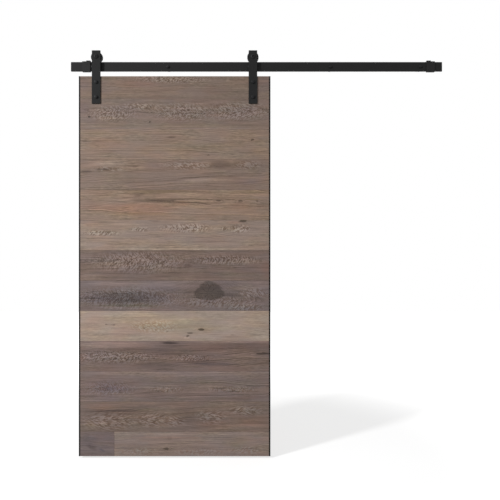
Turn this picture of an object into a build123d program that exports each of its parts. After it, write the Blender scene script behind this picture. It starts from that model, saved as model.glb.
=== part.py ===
"""Single sliding barn door hung from a flat steel rail.

The origin lies on the wall plane, on the axis of the middle wall fixing. X runs along the rail and Z is up.
Y points into the wall, so the door faces minus Y. Depths are distances from the wall towards the room.
All lengths are in millimetres.
"""

from build123d import *
import math
import os

# Rail
rail_length = 2000
rail_height = 50.8
rail_thickness = 6.35
rail_corner_radius = 3
bar_edge_chamfer = 0.6
rail_hole_radius = 4.5

# Wall fixings, placed from the middle of the rail
fixing_offsets = (-882, -477, -40, 398, 882)
middle_fixing = 2
spacer_length = 32
spacer_radius = 17.5
spacer_chamfer = 0.8
washer_radius = 9
washer_thickness = 1.6
washer_clearance = 0.3
lag_head_width = 13
lag_head_height = 5.3
lag_shank_radius = 3.8
lag_thread_radius = 4
lag_thread_length = 50
lag_tip_length = 8

# Door leaf
door_height = 2040
door_thickness = 35
door_back_depth = 16
door_left = -914
panel_width = 1016
strip_thickness = 6.35
gap_under_rail = 29

# Floor boards that clad the front of the leaf
board_thickness = 15
board_pitch = 162.4
top_board_height = 122.7
board_rows = 13
board_bevel = 0.8
seam_gap = 0.2
tongue_height = 5
tongue_front = 4.6
tongue_back = 8.6
groove_clearance = 0.2
butt_joint_from_left = 190.6

# Strap hangers
strap_width = 46
strap_thickness = 6
strap_corner_radius = 1.5
strap_inset = 94
strap_on_door = 148
strap_above_axle = 32.5
hanger_bolt_drops = (32, 112)
hanger_bolt_radius = 5
hanger_hole_radius = 5.25
hanger_head_width = 17
hanger_head_height = 6.4
hanger_nut_height = 8
head_crown_share = 0.95
head_corner_angle = 30
hanger_washer_radius = 10
hanger_washer_thickness = 2
counterbore_radius = 13
counterbore_depth = 6
bolt_end_past_nut = 1.5
bolt_end_chamfer = 1

# Wheels and their bearings
axle_above_rail = 25
running_gap = 0.3
flange_radius = 30.5
wheel_width = 22
groove_bottom_width = 8
groove_mouth_width = 10
wheel_edge_chamfer = 0.8
shoulder_radius = 12.2
dish_depth = 2.5
dish_inner_radius = 17
dish_outer_radius = 24.5
dish_wall_slope = 1
clip_groove_radius = 14.7
clip_groove_width = 1.2
clip_inner_radius = 13
clip_thickness = 1.1
clip_gap = 9
clip_play = 0.05
bearing_bore_radius = 6
bearing_outer_radius = 14
bearing_width = 8
inner_ring_radius = 8.3
outer_ring_radius = 11.7
race_pitch_radius = 10
race_groove_radius = 2.5
ball_radius = 2.38
ball_count = 8
cage_inner_radius = 9.2
cage_outer_radius = 10.8
cage_width = 5.8
seal_thickness = 0.8
seal_recess = 0.05
seal_lip_gap = 0.15

# Axle bolts
axle_radius = 5.95
axle_hole_radius = 6.2
axle_head_radius = 13
axle_head_height = 6
axle_head_rim = 1.5
axle_head_crown_radius = 4.5
axle_head_bulge = 1
axle_socket_width = 8
axle_socket_depth = 4
axle_spacer_radius = 8.2
axle_shim_thickness = 1.5
axle_nut_width = 19
axle_nut_height = 7
axle_end_past_nut = 1.5

# End stops
stop_from_end = (106, 84)
stop_base_width = 22
stop_nose_width = 18
bumper_thickness = 4
stop_lip = 2.3
stop_front_plate = 5
stop_back_depth = 27
stop_slot_gap = 0.1
stop_back_opening = 32
stop_nose_rise = 6.6
stop_corner_radius = 2.2
stop_screw_spacing = 27
stop_screw_radius = 3
stop_screw_clearance = 0.05
stop_socket_width = 3
stop_socket_depth = 2.5

# Screws that hold the edge strips
strip_screw_count = 7
strip_screw_end_margin = 60
strip_screw_radius = 2.25
strip_screw_length = 30
strip_screw_tip = 5
strip_head_radius = 4.4
strip_hole_clearance = 0.15
recess_width = 1
recess_length = 4.6
recess_depth = 1.4

# Depths worked out from the wall
rail_back = spacer_length
rail_front = rail_back + rail_thickness
rail_plane = (rail_back + rail_front) / 2
door_front = door_back_depth + door_thickness
core_front = door_front - board_thickness
strap_front = door_front + strap_thickness
stop_front = rail_front + stop_slot_gap + stop_front_plate

# Heights worked out from the rail's middle
rail_top = rail_height / 2
axle_height = rail_top + axle_above_rail
door_top = -rail_top - gap_under_rail
door_bottom = door_top - door_height
strap_top = axle_height + strap_above_axle
strap_bottom = door_top - strap_on_door
hanger_bolt_heights = [door_top - drop for drop in hanger_bolt_drops]
tread_radius = axle_above_rail - running_gap

# Places along the rail
fixing_places = [offset - fixing_offsets[middle_fixing] for offset in fixing_offsets]
rail_middle = -fixing_offsets[middle_fixing]
rail_left = rail_middle - rail_length / 2
rail_right = rail_middle + rail_length / 2
panel_left = door_left + strip_thickness
panel_right = panel_left + panel_width
door_right = panel_right + strip_thickness
strap_places = {"left": door_left + strap_inset, "right": door_right - strap_inset}
bumper_faces = {"left": rail_left + stop_from_end[0], "right": rail_right - stop_from_end[1]}


def section_at(x, depth, z):
    """A plane across X at a point, with its own x towards the wall and its own y up."""
    return Plane(origin=(x, -depth, z), x_dir=(0, 1, 0), z_dir=(1, 0, 0))


def turn(outline, x, depth, z, mode=Mode.ADD):
    """Revolve an outline about the fore-and-aft axis through a point.

    The outline's points are (distance towards the wall, radius).
    """
    with BuildSketch(section_at(x, depth, z)) as profile:
        with BuildLine():
            Polyline(*outline, close=True)
        make_face()
    revolve(profile.sketch, axis=Axis((x, -depth, z), (0, 1, 0)), mode=mode)


def turn_across(outline, face, inward, depth, z, mode=Mode.ADD):
    """Revolve an outline about an axis along X that starts on a side face of the leaf.

    The outline's points are (distance inward from the face, radius).
    """
    with BuildSketch(Plane.XZ.offset(depth)) as profile:
        with BuildLine():
            Polyline(*[(face + inward * run, z + radius) for run, radius in outline], close=True)
        make_face()
    revolve(profile.sketch, axis=Axis((face, -depth, z), (1, 0, 0)), mode=mode)


def ring(inner, outer, start, end, x, z):
    """A plain ring about the fore-and-aft axis, between two depths."""
    with BuildSketch(Plane.XZ.offset(end)) as profile:
        with Locations((x, z)):
            Circle(outer)
            Circle(inner, mode=Mode.SUBTRACT)
    extrude(profile.sketch, amount=start - end)


def hexagon_head(width, seat, height, x, z):
    """A hexagon standing forward of its seat, with its front corners turned off."""
    with BuildSketch(Plane.XZ.offset(seat)) as profile:
        with Locations((x, z)):
            RegularPolygon(width / 2, 6, major_radius=False, rotation=30)
    extrude(profile.sketch, amount=height)
    corner = width / math.sqrt(3)
    crown = width / 2 * head_crown_share
    shoulder = height - (corner - crown) * math.tan(math.radians(head_corner_angle))
    cutter = [(-height, crown), (-height, corner), (-shoulder, corner)]
    turn(cutter, x, seat, z, mode=Mode.SUBTRACT)


def shank_outline(radius, run):
    """Outline of a plain bolt shank with a chamfered end."""
    tip = radius - bolt_end_chamfer
    return [(0, 0), (0, radius), (run - bolt_end_chamfer, radius), (run, tip), (run, 0)]


def hexagon_nut(width, seat, height, bore, x, z):
    """A nut that reaches from its seat towards the wall."""
    with BuildSketch(Plane.XZ.offset(seat)) as profile:
        with Locations((x, z)):
            RegularPolygon(width / 2, 6, major_radius=False, rotation=30)
            Circle(bore, mode=Mode.SUBTRACT)
    extrude(profile.sketch, amount=-height)


def flat_bar(width, height, corner, x, z, start, thickness):
    """A flat bar with rounded corners, standing forward from a start depth."""
    with BuildSketch(Plane.XZ.offset(start)) as profile:
        with Locations((x, z)):
            RectangleRounded(width, height, corner)
    extrude(profile.sketch, amount=thickness)


def drill(radius, places, start, end):
    """Round holes from a start depth forward to an end depth."""
    with BuildSketch(Plane.XZ.offset(start)) as profile:
        with Locations(*places):
            Circle(radius)
    extrude(profile.sketch, amount=end - start, mode=Mode.SUBTRACT)


def save(part, name):
    """Label a finished piece and write it to its own file."""
    part.label = name
    export_step(part, f"parts/{name}.step")


os.makedirs("parts", exist_ok=True)


# The rail, with one clearance hole at each wall fixing
with BuildPart() as rail:
    flat_bar(rail_length, rail_height, rail_corner_radius, rail_middle, 0, rail_back, rail_thickness)
    drill(rail_hole_radius, [(x, 0) for x in fixing_places], rail_back, rail_front)
    chamfer(rail.faces().sort_by(Axis.Y)[0].edges(), bar_edge_chamfer)
    chamfer(rail.faces().sort_by(Axis.Y)[-1].outer_wire().edges(), bar_edge_chamfer)
save(rail.part, "rail")


# A turned spacer holds the rail off the wall at each fixing
for number, place in enumerate(fixing_places, start=1):
    with BuildPart() as wall_spacer:
        ring(rail_hole_radius, spacer_radius, 0, spacer_length, place, 0)
        ends = wall_spacer.edges().filter_by(GeomType.CIRCLE).group_by(SortBy.RADIUS)[-1]
        chamfer(ends, spacer_chamfer)
    save(wall_spacer.part, f"wall_spacer_{number}")


# Lag screws pass through the washers, rail and spacers, and their threads stand out of the wall plane
screw_seat = rail_front + washer_thickness
with BuildPart() as wall_screws:
    for place in fixing_places:
        shank = [
            (0, 0),
            (0, lag_shank_radius),
            (screw_seat, lag_shank_radius),
            (screw_seat, lag_thread_radius),
            (screw_seat + lag_thread_length, lag_thread_radius),
            (screw_seat + lag_thread_length + lag_tip_length, 0),
        ]
        turn(shank, place, screw_seat, 0)
        hexagon_head(lag_head_width, screw_seat, lag_head_height, place, 0)
save(wall_screws.part, "wall_screws")

with BuildPart() as wall_screw_washers:
    for place in fixing_places:
        ring(lag_thread_radius + washer_clearance, washer_radius, rail_front, screw_seat, place, 0)
save(wall_screw_washers.part, "wall_screw_washers")


def stop_outline(top):
    """The hooked section of an end stop: front plate, two lips and two short returns behind the rail."""
    slot_half = rail_height / 2 + stop_slot_gap
    low = -slot_half - stop_lip
    front, slot_front = -stop_front, -rail_front - stop_slot_gap
    slot_back, back = -rail_back + stop_slot_gap, -stop_back_depth
    mouth = stop_back_opening / 2
    return [
        (front, low),
        (back, low),
        (back, -mouth),
        (slot_back, -mouth),
        (slot_back, -slot_half),
        (slot_front, -slot_half),
        (slot_front, slot_half),
        (slot_back, slot_half),
        (slot_back, mouth),
        (back, mouth),
        (back, top),
        (front, top),
    ]


def hooked_bar(start, end, top):
    """A length of the end stop's section along the rail."""
    with BuildSketch(Plane.YZ.offset(start)) as profile:
        with BuildLine():
            Polyline(*stop_outline(top), close=True)
        make_face()
    extrude(profile.sketch, amount=end - start)


# End stops hook round the rail, each with a raised nose and a rubber bumper towards the door
stop_top = rail_top + stop_slot_gap + stop_lip
nose_top = rail_top + stop_nose_rise
screw_holes = {}
for side, outward in (("left", -1), ("right", 1)):
    bumper_start = bumper_faces[side]
    nose_start = bumper_start + outward * bumper_thickness
    base_start = nose_start + outward * stop_nose_width
    base_end = base_start + outward * stop_base_width
    screw_holes[side] = [((nose_start + base_start) / 2, z * stop_screw_spacing / 2) for z in (-1, 1)]

    with BuildPart() as stop_body:
        hooked_bar(nose_start, base_start, nose_top)
        hooked_bar(base_start, base_end, stop_top)
        outer_corners = stop_body.edges().filter_by(Axis.Y).group_by(Axis.X)[0 if side == "left" else -1]
        fillet(outer_corners.group_by(Axis.Z)[-1] + outer_corners.group_by(Axis.Z)[0], stop_corner_radius)
        drill(stop_screw_radius, screw_holes[side], rail_front, stop_front)
    save(stop_body.part, f"stop_body_{side}")

    with BuildPart() as stop_bumper:
        hooked_bar(bumper_start, nose_start, nose_top)
    save(stop_bumper.part, f"stop_bumper_{side}")

# Socket set screws press the stops against the rail
with BuildPart() as stop_screws:
    with BuildSketch(Plane.XZ.offset(rail_front)):
        with Locations(*screw_holes["left"], *screw_holes["right"]):
            Circle(stop_screw_radius - stop_screw_clearance)
    extrude(amount=stop_front - rail_front - bar_edge_chamfer)
    with BuildSketch(Plane.XZ.offset(stop_front - bar_edge_chamfer)):
        with Locations(*screw_holes["left"], *screw_holes["right"]):
            RegularPolygon(stop_socket_width / 2, 6, major_radius=False)
    extrude(amount=-stop_socket_depth, mode=Mode.SUBTRACT)
save(stop_screws.part, "stop_screws")


# Plywood core behind the boards, with through holes for the hanger bolts and counterbores for their nuts
hanger_bolt_points = [(x, z) for x in strap_places.values() for z in hanger_bolt_heights]
screw_span = door_height - 2 * strip_screw_end_margin
strip_screw_heights = [
    door_bottom + strip_screw_end_margin + screw_span * step / (strip_screw_count - 1)
    for step in range(strip_screw_count)
]
core_thickness = core_front - door_back_depth
strip_screw_depth = door_back_depth + core_thickness / 2

with BuildPart() as core_panel:
    with BuildSketch(Plane.XZ.offset(door_back_depth)):
        with Locations(((panel_left + panel_right) / 2, (door_top + door_bottom) / 2)):
            Rectangle(panel_width, door_height)
    extrude(amount=core_thickness)
    drill(hanger_hole_radius, hanger_bolt_points, door_back_depth, core_front)
    drill(counterbore_radius, hanger_bolt_points, door_back_depth, door_back_depth + counterbore_depth)
    for edge, inward in ((panel_left, 1), (panel_right, -1)):
        with BuildSketch(Plane.YZ.offset(edge)):
            with Locations(*[(-strip_screw_depth, z) for z in strip_screw_heights]):
                Circle(strip_screw_radius + strip_hole_clearance)
        extrude(amount=inward * strip_screw_length, mode=Mode.SUBTRACT)
save(core_panel.part, "core_panel")


def board_outline(low, high, with_groove, with_tongue):
    """Section of one board: bevelled front edges, a groove below and a tongue above."""
    front = -door_front
    back = front + board_thickness
    low += seam_gap / 2
    high -= seam_gap / 2
    outline = [(front, low + board_bevel), (front + board_bevel, low)]
    if with_groove:
        groove_front = front + tongue_front - groove_clearance
        groove_back = front + tongue_back + groove_clearance
        groove_top = low + tongue_height + groove_clearance
        outline += [(groove_front, low), (groove_front, groove_top)]
        outline += [(groove_back, groove_top), (groove_back, low)]
    outline += [(back, low), (back, high)]
    if with_tongue:
        tongue_top = high + tongue_height
        outline += [(front + tongue_back, high), (front + tongue_back, tongue_top)]
        outline += [(front + tongue_front, tongue_top), (front + tongue_front, high)]
    outline += [(front + board_bevel, high), (front, high - board_bevel)]
    return outline


def board(start, end, outline):
    """One length of board between two places along X."""
    with BuildSketch(Plane.YZ.offset(start)) as profile:
        with BuildLine():
            Polyline(*outline, close=True)
        make_face()
    extrude(profile.sketch, amount=end - start)


# Thirteen rows of boards, counted from the top; the lowest row has a butt joint near its left end
butt_joint = door_left + butt_joint_from_left
for row in range(board_rows):
    high = door_top if row == 0 else door_top - top_board_height - (row - 1) * board_pitch
    is_last = row == board_rows - 1
    low = door_bottom if is_last else door_top - top_board_height - row * board_pitch
    section = board_outline(low, high, with_groove=not is_last, with_tongue=row > 0)
    start = butt_joint + seam_gap / 2 if is_last else panel_left
    with BuildPart() as plank:
        board(start, panel_right, section)
        if row == 0:
            drill(hanger_hole_radius, hanger_bolt_points, core_front, door_front)
        if is_last:
            joint_edge = plank.faces().sort_by(Axis.X)[0].edges().sort_by(Axis.Y)[0]
            chamfer(joint_edge, board_bevel)
    save(plank.part, f"plank_{row + 1:02d}")
    if is_last:
        with BuildPart() as short_plank:
            board(panel_left, butt_joint - seam_gap / 2, section)
            joint_edge = short_plank.faces().sort_by(Axis.X)[-1].edges().sort_by(Axis.Y)[0]
            chamfer(joint_edge, board_bevel)
        save(short_plank.part, "plank_13_short")


# Flat steel strips close the two long edges of the leaf, each held by countersunk screws
strip_head_height = strip_head_radius - strip_screw_radius
hole_radius = strip_screw_radius + strip_hole_clearance
mouth_radius = strip_head_radius + strip_hole_clearance
countersink = [
    (0, 0),
    (0, mouth_radius),
    (strip_head_height, hole_radius),
    (strip_thickness, hole_radius),
    (strip_thickness, 0),
]
for side, outer, inward in (("left", door_left, 1), ("right", door_right, -1)):
    with BuildPart() as edge_strip:
        with BuildSketch(Plane.YZ.offset(outer)):
            with Locations((-(door_back_depth + door_front) / 2, (door_top + door_bottom) / 2)):
                Rectangle(door_thickness, door_height)
        extrude(amount=inward * strip_thickness)
        outer_face = edge_strip.faces().sort_by(Axis.X)[0 if side == "left" else -1]
        chamfer(outer_face.edges(), bar_edge_chamfer)
        for height in strip_screw_heights:
            turn_across(countersink, outer, inward, strip_screw_depth, height, mode=Mode.SUBTRACT)
    save(edge_strip.part, f"edge_strip_{side}")

wood_screw = [
    (0, 0),
    (0, strip_head_radius),
    (strip_head_height, strip_screw_radius),
    (strip_screw_length - strip_screw_tip, strip_screw_radius),
    (strip_screw_length, 0),
]
with BuildPart() as edge_strip_screws:
    for outer, inward in ((door_left, 1), (door_right, -1)):
        for height in strip_screw_heights:
            turn_across(wood_screw, outer, inward, strip_screw_depth, height)
        with BuildSketch(Plane.YZ.offset(outer)):
            with Locations(*[(-strip_screw_depth, height) for height in strip_screw_heights]):
                Rectangle(recess_length, recess_width)
                Rectangle(recess_width, recess_length)
        extrude(amount=inward * recess_depth, mode=Mode.SUBTRACT)
save(edge_strip_screws.part, "edge_strip_screws")


# Straps bolted to the front of the leaf carry the wheels above it
strap_length = strap_top - strap_bottom
strap_middle = (strap_top + strap_bottom) / 2
for side, place in strap_places.items():
    with BuildPart() as hanger_strap:
        size = (strap_width, strap_length, strap_corner_radius)
        flat_bar(*size, place, strap_middle, door_front, strap_thickness)
        drill(axle_hole_radius, [(place, axle_height)], door_front, strap_front)
        drill(hanger_hole_radius, [(place, z) for z in hanger_bolt_heights], door_front, strap_front)
        chamfer(hanger_strap.faces().sort_by(Axis.Y)[0].outer_wire().edges(), bar_edge_chamfer)
    save(hanger_strap.part, f"hanger_strap_{side}")

# Hexagon bolts through the leaf, with washers and nuts in the counterbores at its back
washer_seat = door_back_depth + counterbore_depth
nut_seat = washer_seat - hanger_washer_thickness
bolt_run = strap_front - nut_seat + hanger_nut_height + bolt_end_past_nut
with BuildPart() as hanger_bolts:
    for place, height in hanger_bolt_points:
        turn(shank_outline(hanger_bolt_radius, bolt_run), place, strap_front, height)
        hexagon_head(hanger_head_width, strap_front, hanger_head_height, place, height)
save(hanger_bolts.part, "hanger_bolts")

with BuildPart() as hanger_bolt_washers:
    for place, height in hanger_bolt_points:
        ring(hanger_hole_radius, hanger_washer_radius, nut_seat, washer_seat, place, height)
save(hanger_bolt_washers.part, "hanger_bolt_washers")

with BuildPart() as hanger_bolt_nuts:
    for place, height in hanger_bolt_points:
        hexagon_nut(hanger_head_width, nut_seat, hanger_nut_height, hanger_bolt_radius, place, height)
save(hanger_bolt_nuts.part, "hanger_bolt_nuts")


# Section of a grooved wheel, measured from the wheel's middle plane; the bearing slides in from the wall side
half_wheel = wheel_width / 2
half_seat = bearing_width / 2
half_groove = groove_bottom_width / 2
half_mouth = groove_mouth_width / 2
rim = flange_radius - wheel_edge_chamfer
side_start = half_wheel - wheel_edge_chamfer
dish_floor = half_wheel - dish_depth
clip_start = half_seat
clip_end = half_seat + clip_groove_width
wheel_outline = [
    (-half_wheel, shoulder_radius),
    (-half_wheel, dish_inner_radius - dish_wall_slope),
    (-dish_floor, dish_inner_radius),
    (-dish_floor, dish_outer_radius),
    (-half_wheel, dish_outer_radius + dish_wall_slope),
    (-half_wheel, rim),
    (-side_start, flange_radius),
    (-half_mouth, flange_radius),
    (-half_groove, tread_radius),
    (half_groove, tread_radius),
    (half_mouth, flange_radius),
    (side_start, flange_radius),
    (half_wheel, rim),
    (half_wheel, dish_outer_radius + dish_wall_slope),
    (dish_floor, dish_outer_radius),
    (dish_floor, dish_inner_radius),
    (half_wheel, dish_inner_radius - dish_wall_slope),
    (half_wheel, bearing_outer_radius),
    (clip_end, bearing_outer_radius),
    (clip_end, clip_groove_radius),
    (clip_start, clip_groove_radius),
    (clip_start, bearing_outer_radius),
    (-half_seat, bearing_outer_radius),
    (-half_seat, shoulder_radius),
]

race_plane_front = rail_plane + half_seat
race_plane_back = rail_plane - half_seat


def race_groove(place):
    """The round groove that the balls run in, cut from either ring of a bearing."""
    with BuildSketch(section_at(place, rail_plane, axle_height)) as profile:
        with Locations((0, race_pitch_radius)):
            Circle(race_groove_radius)
    revolve(profile.sketch, axis=Axis((place, -rail_plane, axle_height), (0, 1, 0)), mode=Mode.SUBTRACT)


def ball_planes(place):
    """Planes at the centres of one bearing's balls, evenly spaced round the axle and facing outwards."""
    planes = []
    for step in range(ball_count):
        angle = 2 * math.pi * step / ball_count
        outward = (math.cos(angle), 0, math.sin(angle))
        centre = (
            place + race_pitch_radius * outward[0],
            -rail_plane,
            axle_height + race_pitch_radius * outward[2],
        )
        planes.append(Plane(origin=centre, x_dir=(0, 1, 0), z_dir=outward))
    return planes


# Each wheel turns on its own bearing, which a retaining ring, open at the bottom, keeps on its seat
half_cage = cage_width / 2
shim_back = race_plane_back - axle_shim_thickness
axle_run = strap_front - shim_back + axle_nut_height + axle_end_past_nut
clip_front = rail_plane - clip_start - clip_play
for side, place in strap_places.items():
    with BuildPart() as wheel:
        turn(wheel_outline, place, rail_plane, axle_height)
    save(wheel.part, f"wheel_{side}")

    with BuildPart() as bearing_outer:
        ring(outer_ring_radius, bearing_outer_radius, race_plane_back, race_plane_front, place, axle_height)
        race_groove(place)
    save(bearing_outer.part, f"bearing_outer_{side}")

    with BuildPart() as bearing_inner:
        ring(bearing_bore_radius, inner_ring_radius, race_plane_back, race_plane_front, place, axle_height)
        race_groove(place)
    save(bearing_inner.part, f"bearing_inner_{side}")

    with BuildPart() as bearing_balls:
        with Locations(*ball_planes(place)):
            Sphere(ball_radius)
    save(bearing_balls.part, f"bearing_balls_{side}")

    with BuildPart() as bearing_cage:
        cage_back, cage_front = rail_plane - half_cage, rail_plane + half_cage
        ring(cage_inner_radius, cage_outer_radius, cage_back, cage_front, place, axle_height)
        with BuildSketch(*ball_planes(place)):
            Circle(race_groove_radius)
        extrude(amount=race_groove_radius, both=True, mode=Mode.SUBTRACT)
    save(bearing_cage.part, f"bearing_cage_{side}")

    with BuildPart() as bearing_seals:
        for face, inward in ((race_plane_front, -1), (race_plane_back, 1)):
            start = face + inward * seal_recess
            end = start + inward * seal_thickness
            ring(inner_ring_radius + seal_lip_gap, outer_ring_radius, start, end, place, axle_height)
    save(bearing_seals.part, f"bearing_seals_{side}")

    with BuildPart() as bearing_clip:
        with BuildSketch(Plane.XZ.offset(clip_front)):
            with Locations((place, axle_height)):
                Circle(clip_groove_radius - clip_play)
                Circle(clip_inner_radius, mode=Mode.SUBTRACT)
            with Locations((place, axle_height - clip_groove_radius)):
                Rectangle(clip_gap, clip_groove_radius, mode=Mode.SUBTRACT)
        extrude(amount=-clip_thickness)
    save(bearing_clip.part, f"bearing_clip_{side}")

    # The axle bolt passes through the strap, a spacer tube, the inner ring and a shim to a thin nut
    with BuildPart() as axle_bolt:
        turn(shank_outline(axle_radius, axle_run), place, strap_front, axle_height)
        head_rim = (-axle_head_rim, axle_head_radius)
        head_crown = (-axle_head_height, axle_head_crown_radius)
        with BuildSketch(section_at(place, strap_front, axle_height)):
            with BuildLine():
                Polyline((0, 0), (0, axle_head_radius), head_rim)
                SagittaArc(head_rim, head_crown, -axle_head_bulge)
                Polyline(head_crown, (-axle_head_height, 0), (0, 0))
            make_face()
        revolve(axis=Axis((place, -strap_front, axle_height), (0, 1, 0)))
        with BuildSketch(Plane.XZ.offset(strap_front + axle_head_height)):
            with Locations((place, axle_height)):
                RegularPolygon(axle_socket_width / 2, 6, major_radius=False)
        extrude(amount=-axle_socket_depth, mode=Mode.SUBTRACT)
    save(axle_bolt.part, f"axle_bolt_{side}")

    with BuildPart() as axle_spacer:
        ring(axle_hole_radius, axle_spacer_radius, race_plane_front, door_front, place, axle_height)
    save(axle_spacer.part, f"axle_spacer_{side}")

    with BuildPart() as axle_shim:
        ring(axle_hole_radius, axle_spacer_radius, shim_back, race_plane_back, place, axle_height)
    save(axle_shim.part, f"axle_shim_{side}")

    with BuildPart() as axle_nut:
        hexagon_nut(axle_nut_width, shim_back, axle_nut_height, axle_radius, place, axle_height)
    save(axle_nut.part, f"axle_nut_{side}")
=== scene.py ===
"""Looks of a sliding barn door: one leaf of brushed oak boards that hangs from a flat black rail.

Lengths are metres in the row frame, whose origin is the rail's middle fixing on the wall. What lies on a
board is given in millimetres, from the leaf's left edge and from the board's upper edge.
"""

import logging
import math
from dataclasses import dataclass, field, replace
from enum import Enum
from functools import partial, reduce
from typing import Callable, ClassVar, Optional, Sequence, Union

import bpy
import bmesh
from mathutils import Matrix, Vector


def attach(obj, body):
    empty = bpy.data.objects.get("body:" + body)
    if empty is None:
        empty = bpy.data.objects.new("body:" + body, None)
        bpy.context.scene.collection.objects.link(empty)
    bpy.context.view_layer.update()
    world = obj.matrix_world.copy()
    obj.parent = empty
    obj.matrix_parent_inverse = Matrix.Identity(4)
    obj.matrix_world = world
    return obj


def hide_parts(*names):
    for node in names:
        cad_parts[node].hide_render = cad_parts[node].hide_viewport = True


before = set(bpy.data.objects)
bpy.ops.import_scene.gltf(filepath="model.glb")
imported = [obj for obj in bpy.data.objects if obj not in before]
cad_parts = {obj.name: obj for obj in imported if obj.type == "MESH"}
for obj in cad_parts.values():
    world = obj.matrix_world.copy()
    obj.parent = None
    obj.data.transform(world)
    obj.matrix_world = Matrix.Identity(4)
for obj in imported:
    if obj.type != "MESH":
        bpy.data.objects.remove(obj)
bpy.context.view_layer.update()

log = logging.getLogger("barn_door")

Socket = bpy.types.NodeSocket
Value = Union[Socket, float, Sequence[float]]
Sockets = dict[str, Socket]
Point = tuple[float, float, float]

MM = 1000.0
ORIGIN = (0.0, 0.0, 0.0)


# Colours and named options


@dataclass(frozen=True)
class Paint:
    """A colour as it is seen, in steps from 0 to 255."""

    red: float
    green: float
    blue: float

    def linear(self) -> tuple[float, float, float, float]:
        """Gives the colour for a shader socket.

        Returns:
            Linear red, green and blue, and an alpha of 1.
        """
        # This is the usual curve of a screen, with its straight start.
        steps = [c / 255 for c in (self.red, self.green, self.blue)]
        red, green, blue = (c / 12.92 if c <= 0.04045 else ((c + 0.055) / 1.055) ** 2.4 for c in steps)
        return red, green, blue, 1.0


DUST = Paint(150, 146, 140)
BARE_EDGE = Paint(112, 110, 108)
ROLLED_BARE = Paint(158, 157, 155)
SCUFF = Paint(128, 126, 122)
POLISH = Paint(120, 118, 114)
BLACK_OXIDE = Paint(26, 26, 27)
BIRCH_FACE = Paint(196, 168, 132)
BIRCH_LONG_GRAIN = Paint(186, 155, 116)
BIRCH_END_GRAIN = Paint(140, 108, 76)
GLUE = Paint(74, 54, 40)


class Tint(Enum):
    """What the oak's colour is multiplied by: for the marks, the growth of the wood and a painted shadow at
    the strips.
    """

    DARK = (0.44, 0.40, 0.39, 1.0)
    KNOT = (0.16, 0.14, 0.14, 1.0)
    REDDISH = (1.10, 0.90, 0.84, 1.0)
    PURPLE = (0.86, 0.86, 1.00, 1.0)
    SLATE = (0.50, 0.56, 0.68, 1.0)
    OLIVE = (0.84, 0.90, 0.74, 1.0)
    YELLOW = (1.12, 1.07, 0.86, 1.0)
    PALE = (1.50, 1.52, 1.54, 1.0)
    COOL = (0.985, 0.99, 1.02, 1.0)
    WARM = (1.04, 0.985, 0.955, 1.0)
    GREENISH = (0.985, 1.02, 0.945, 1.0)
    DARK_FLECK = (1.07, 0.98, 0.90, 1.0)
    PALE_FLECK = (0.94, 1.025, 1.09, 1.0)
    HALO = (0.60, 0.52, 0.48, 1.0)
    CORE = (0.20, 0.185, 0.15, 1.0)
    CRACK = (0.25, 0.22, 0.2, 1.0)
    SOAKED = (0.16, 0.15, 0.15, 1.0)


class Side(Enum):
    """The two hangers and stops, as the end of a node's name."""

    LEFT = "left"
    RIGHT = "right"


# Shader nodes


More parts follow.
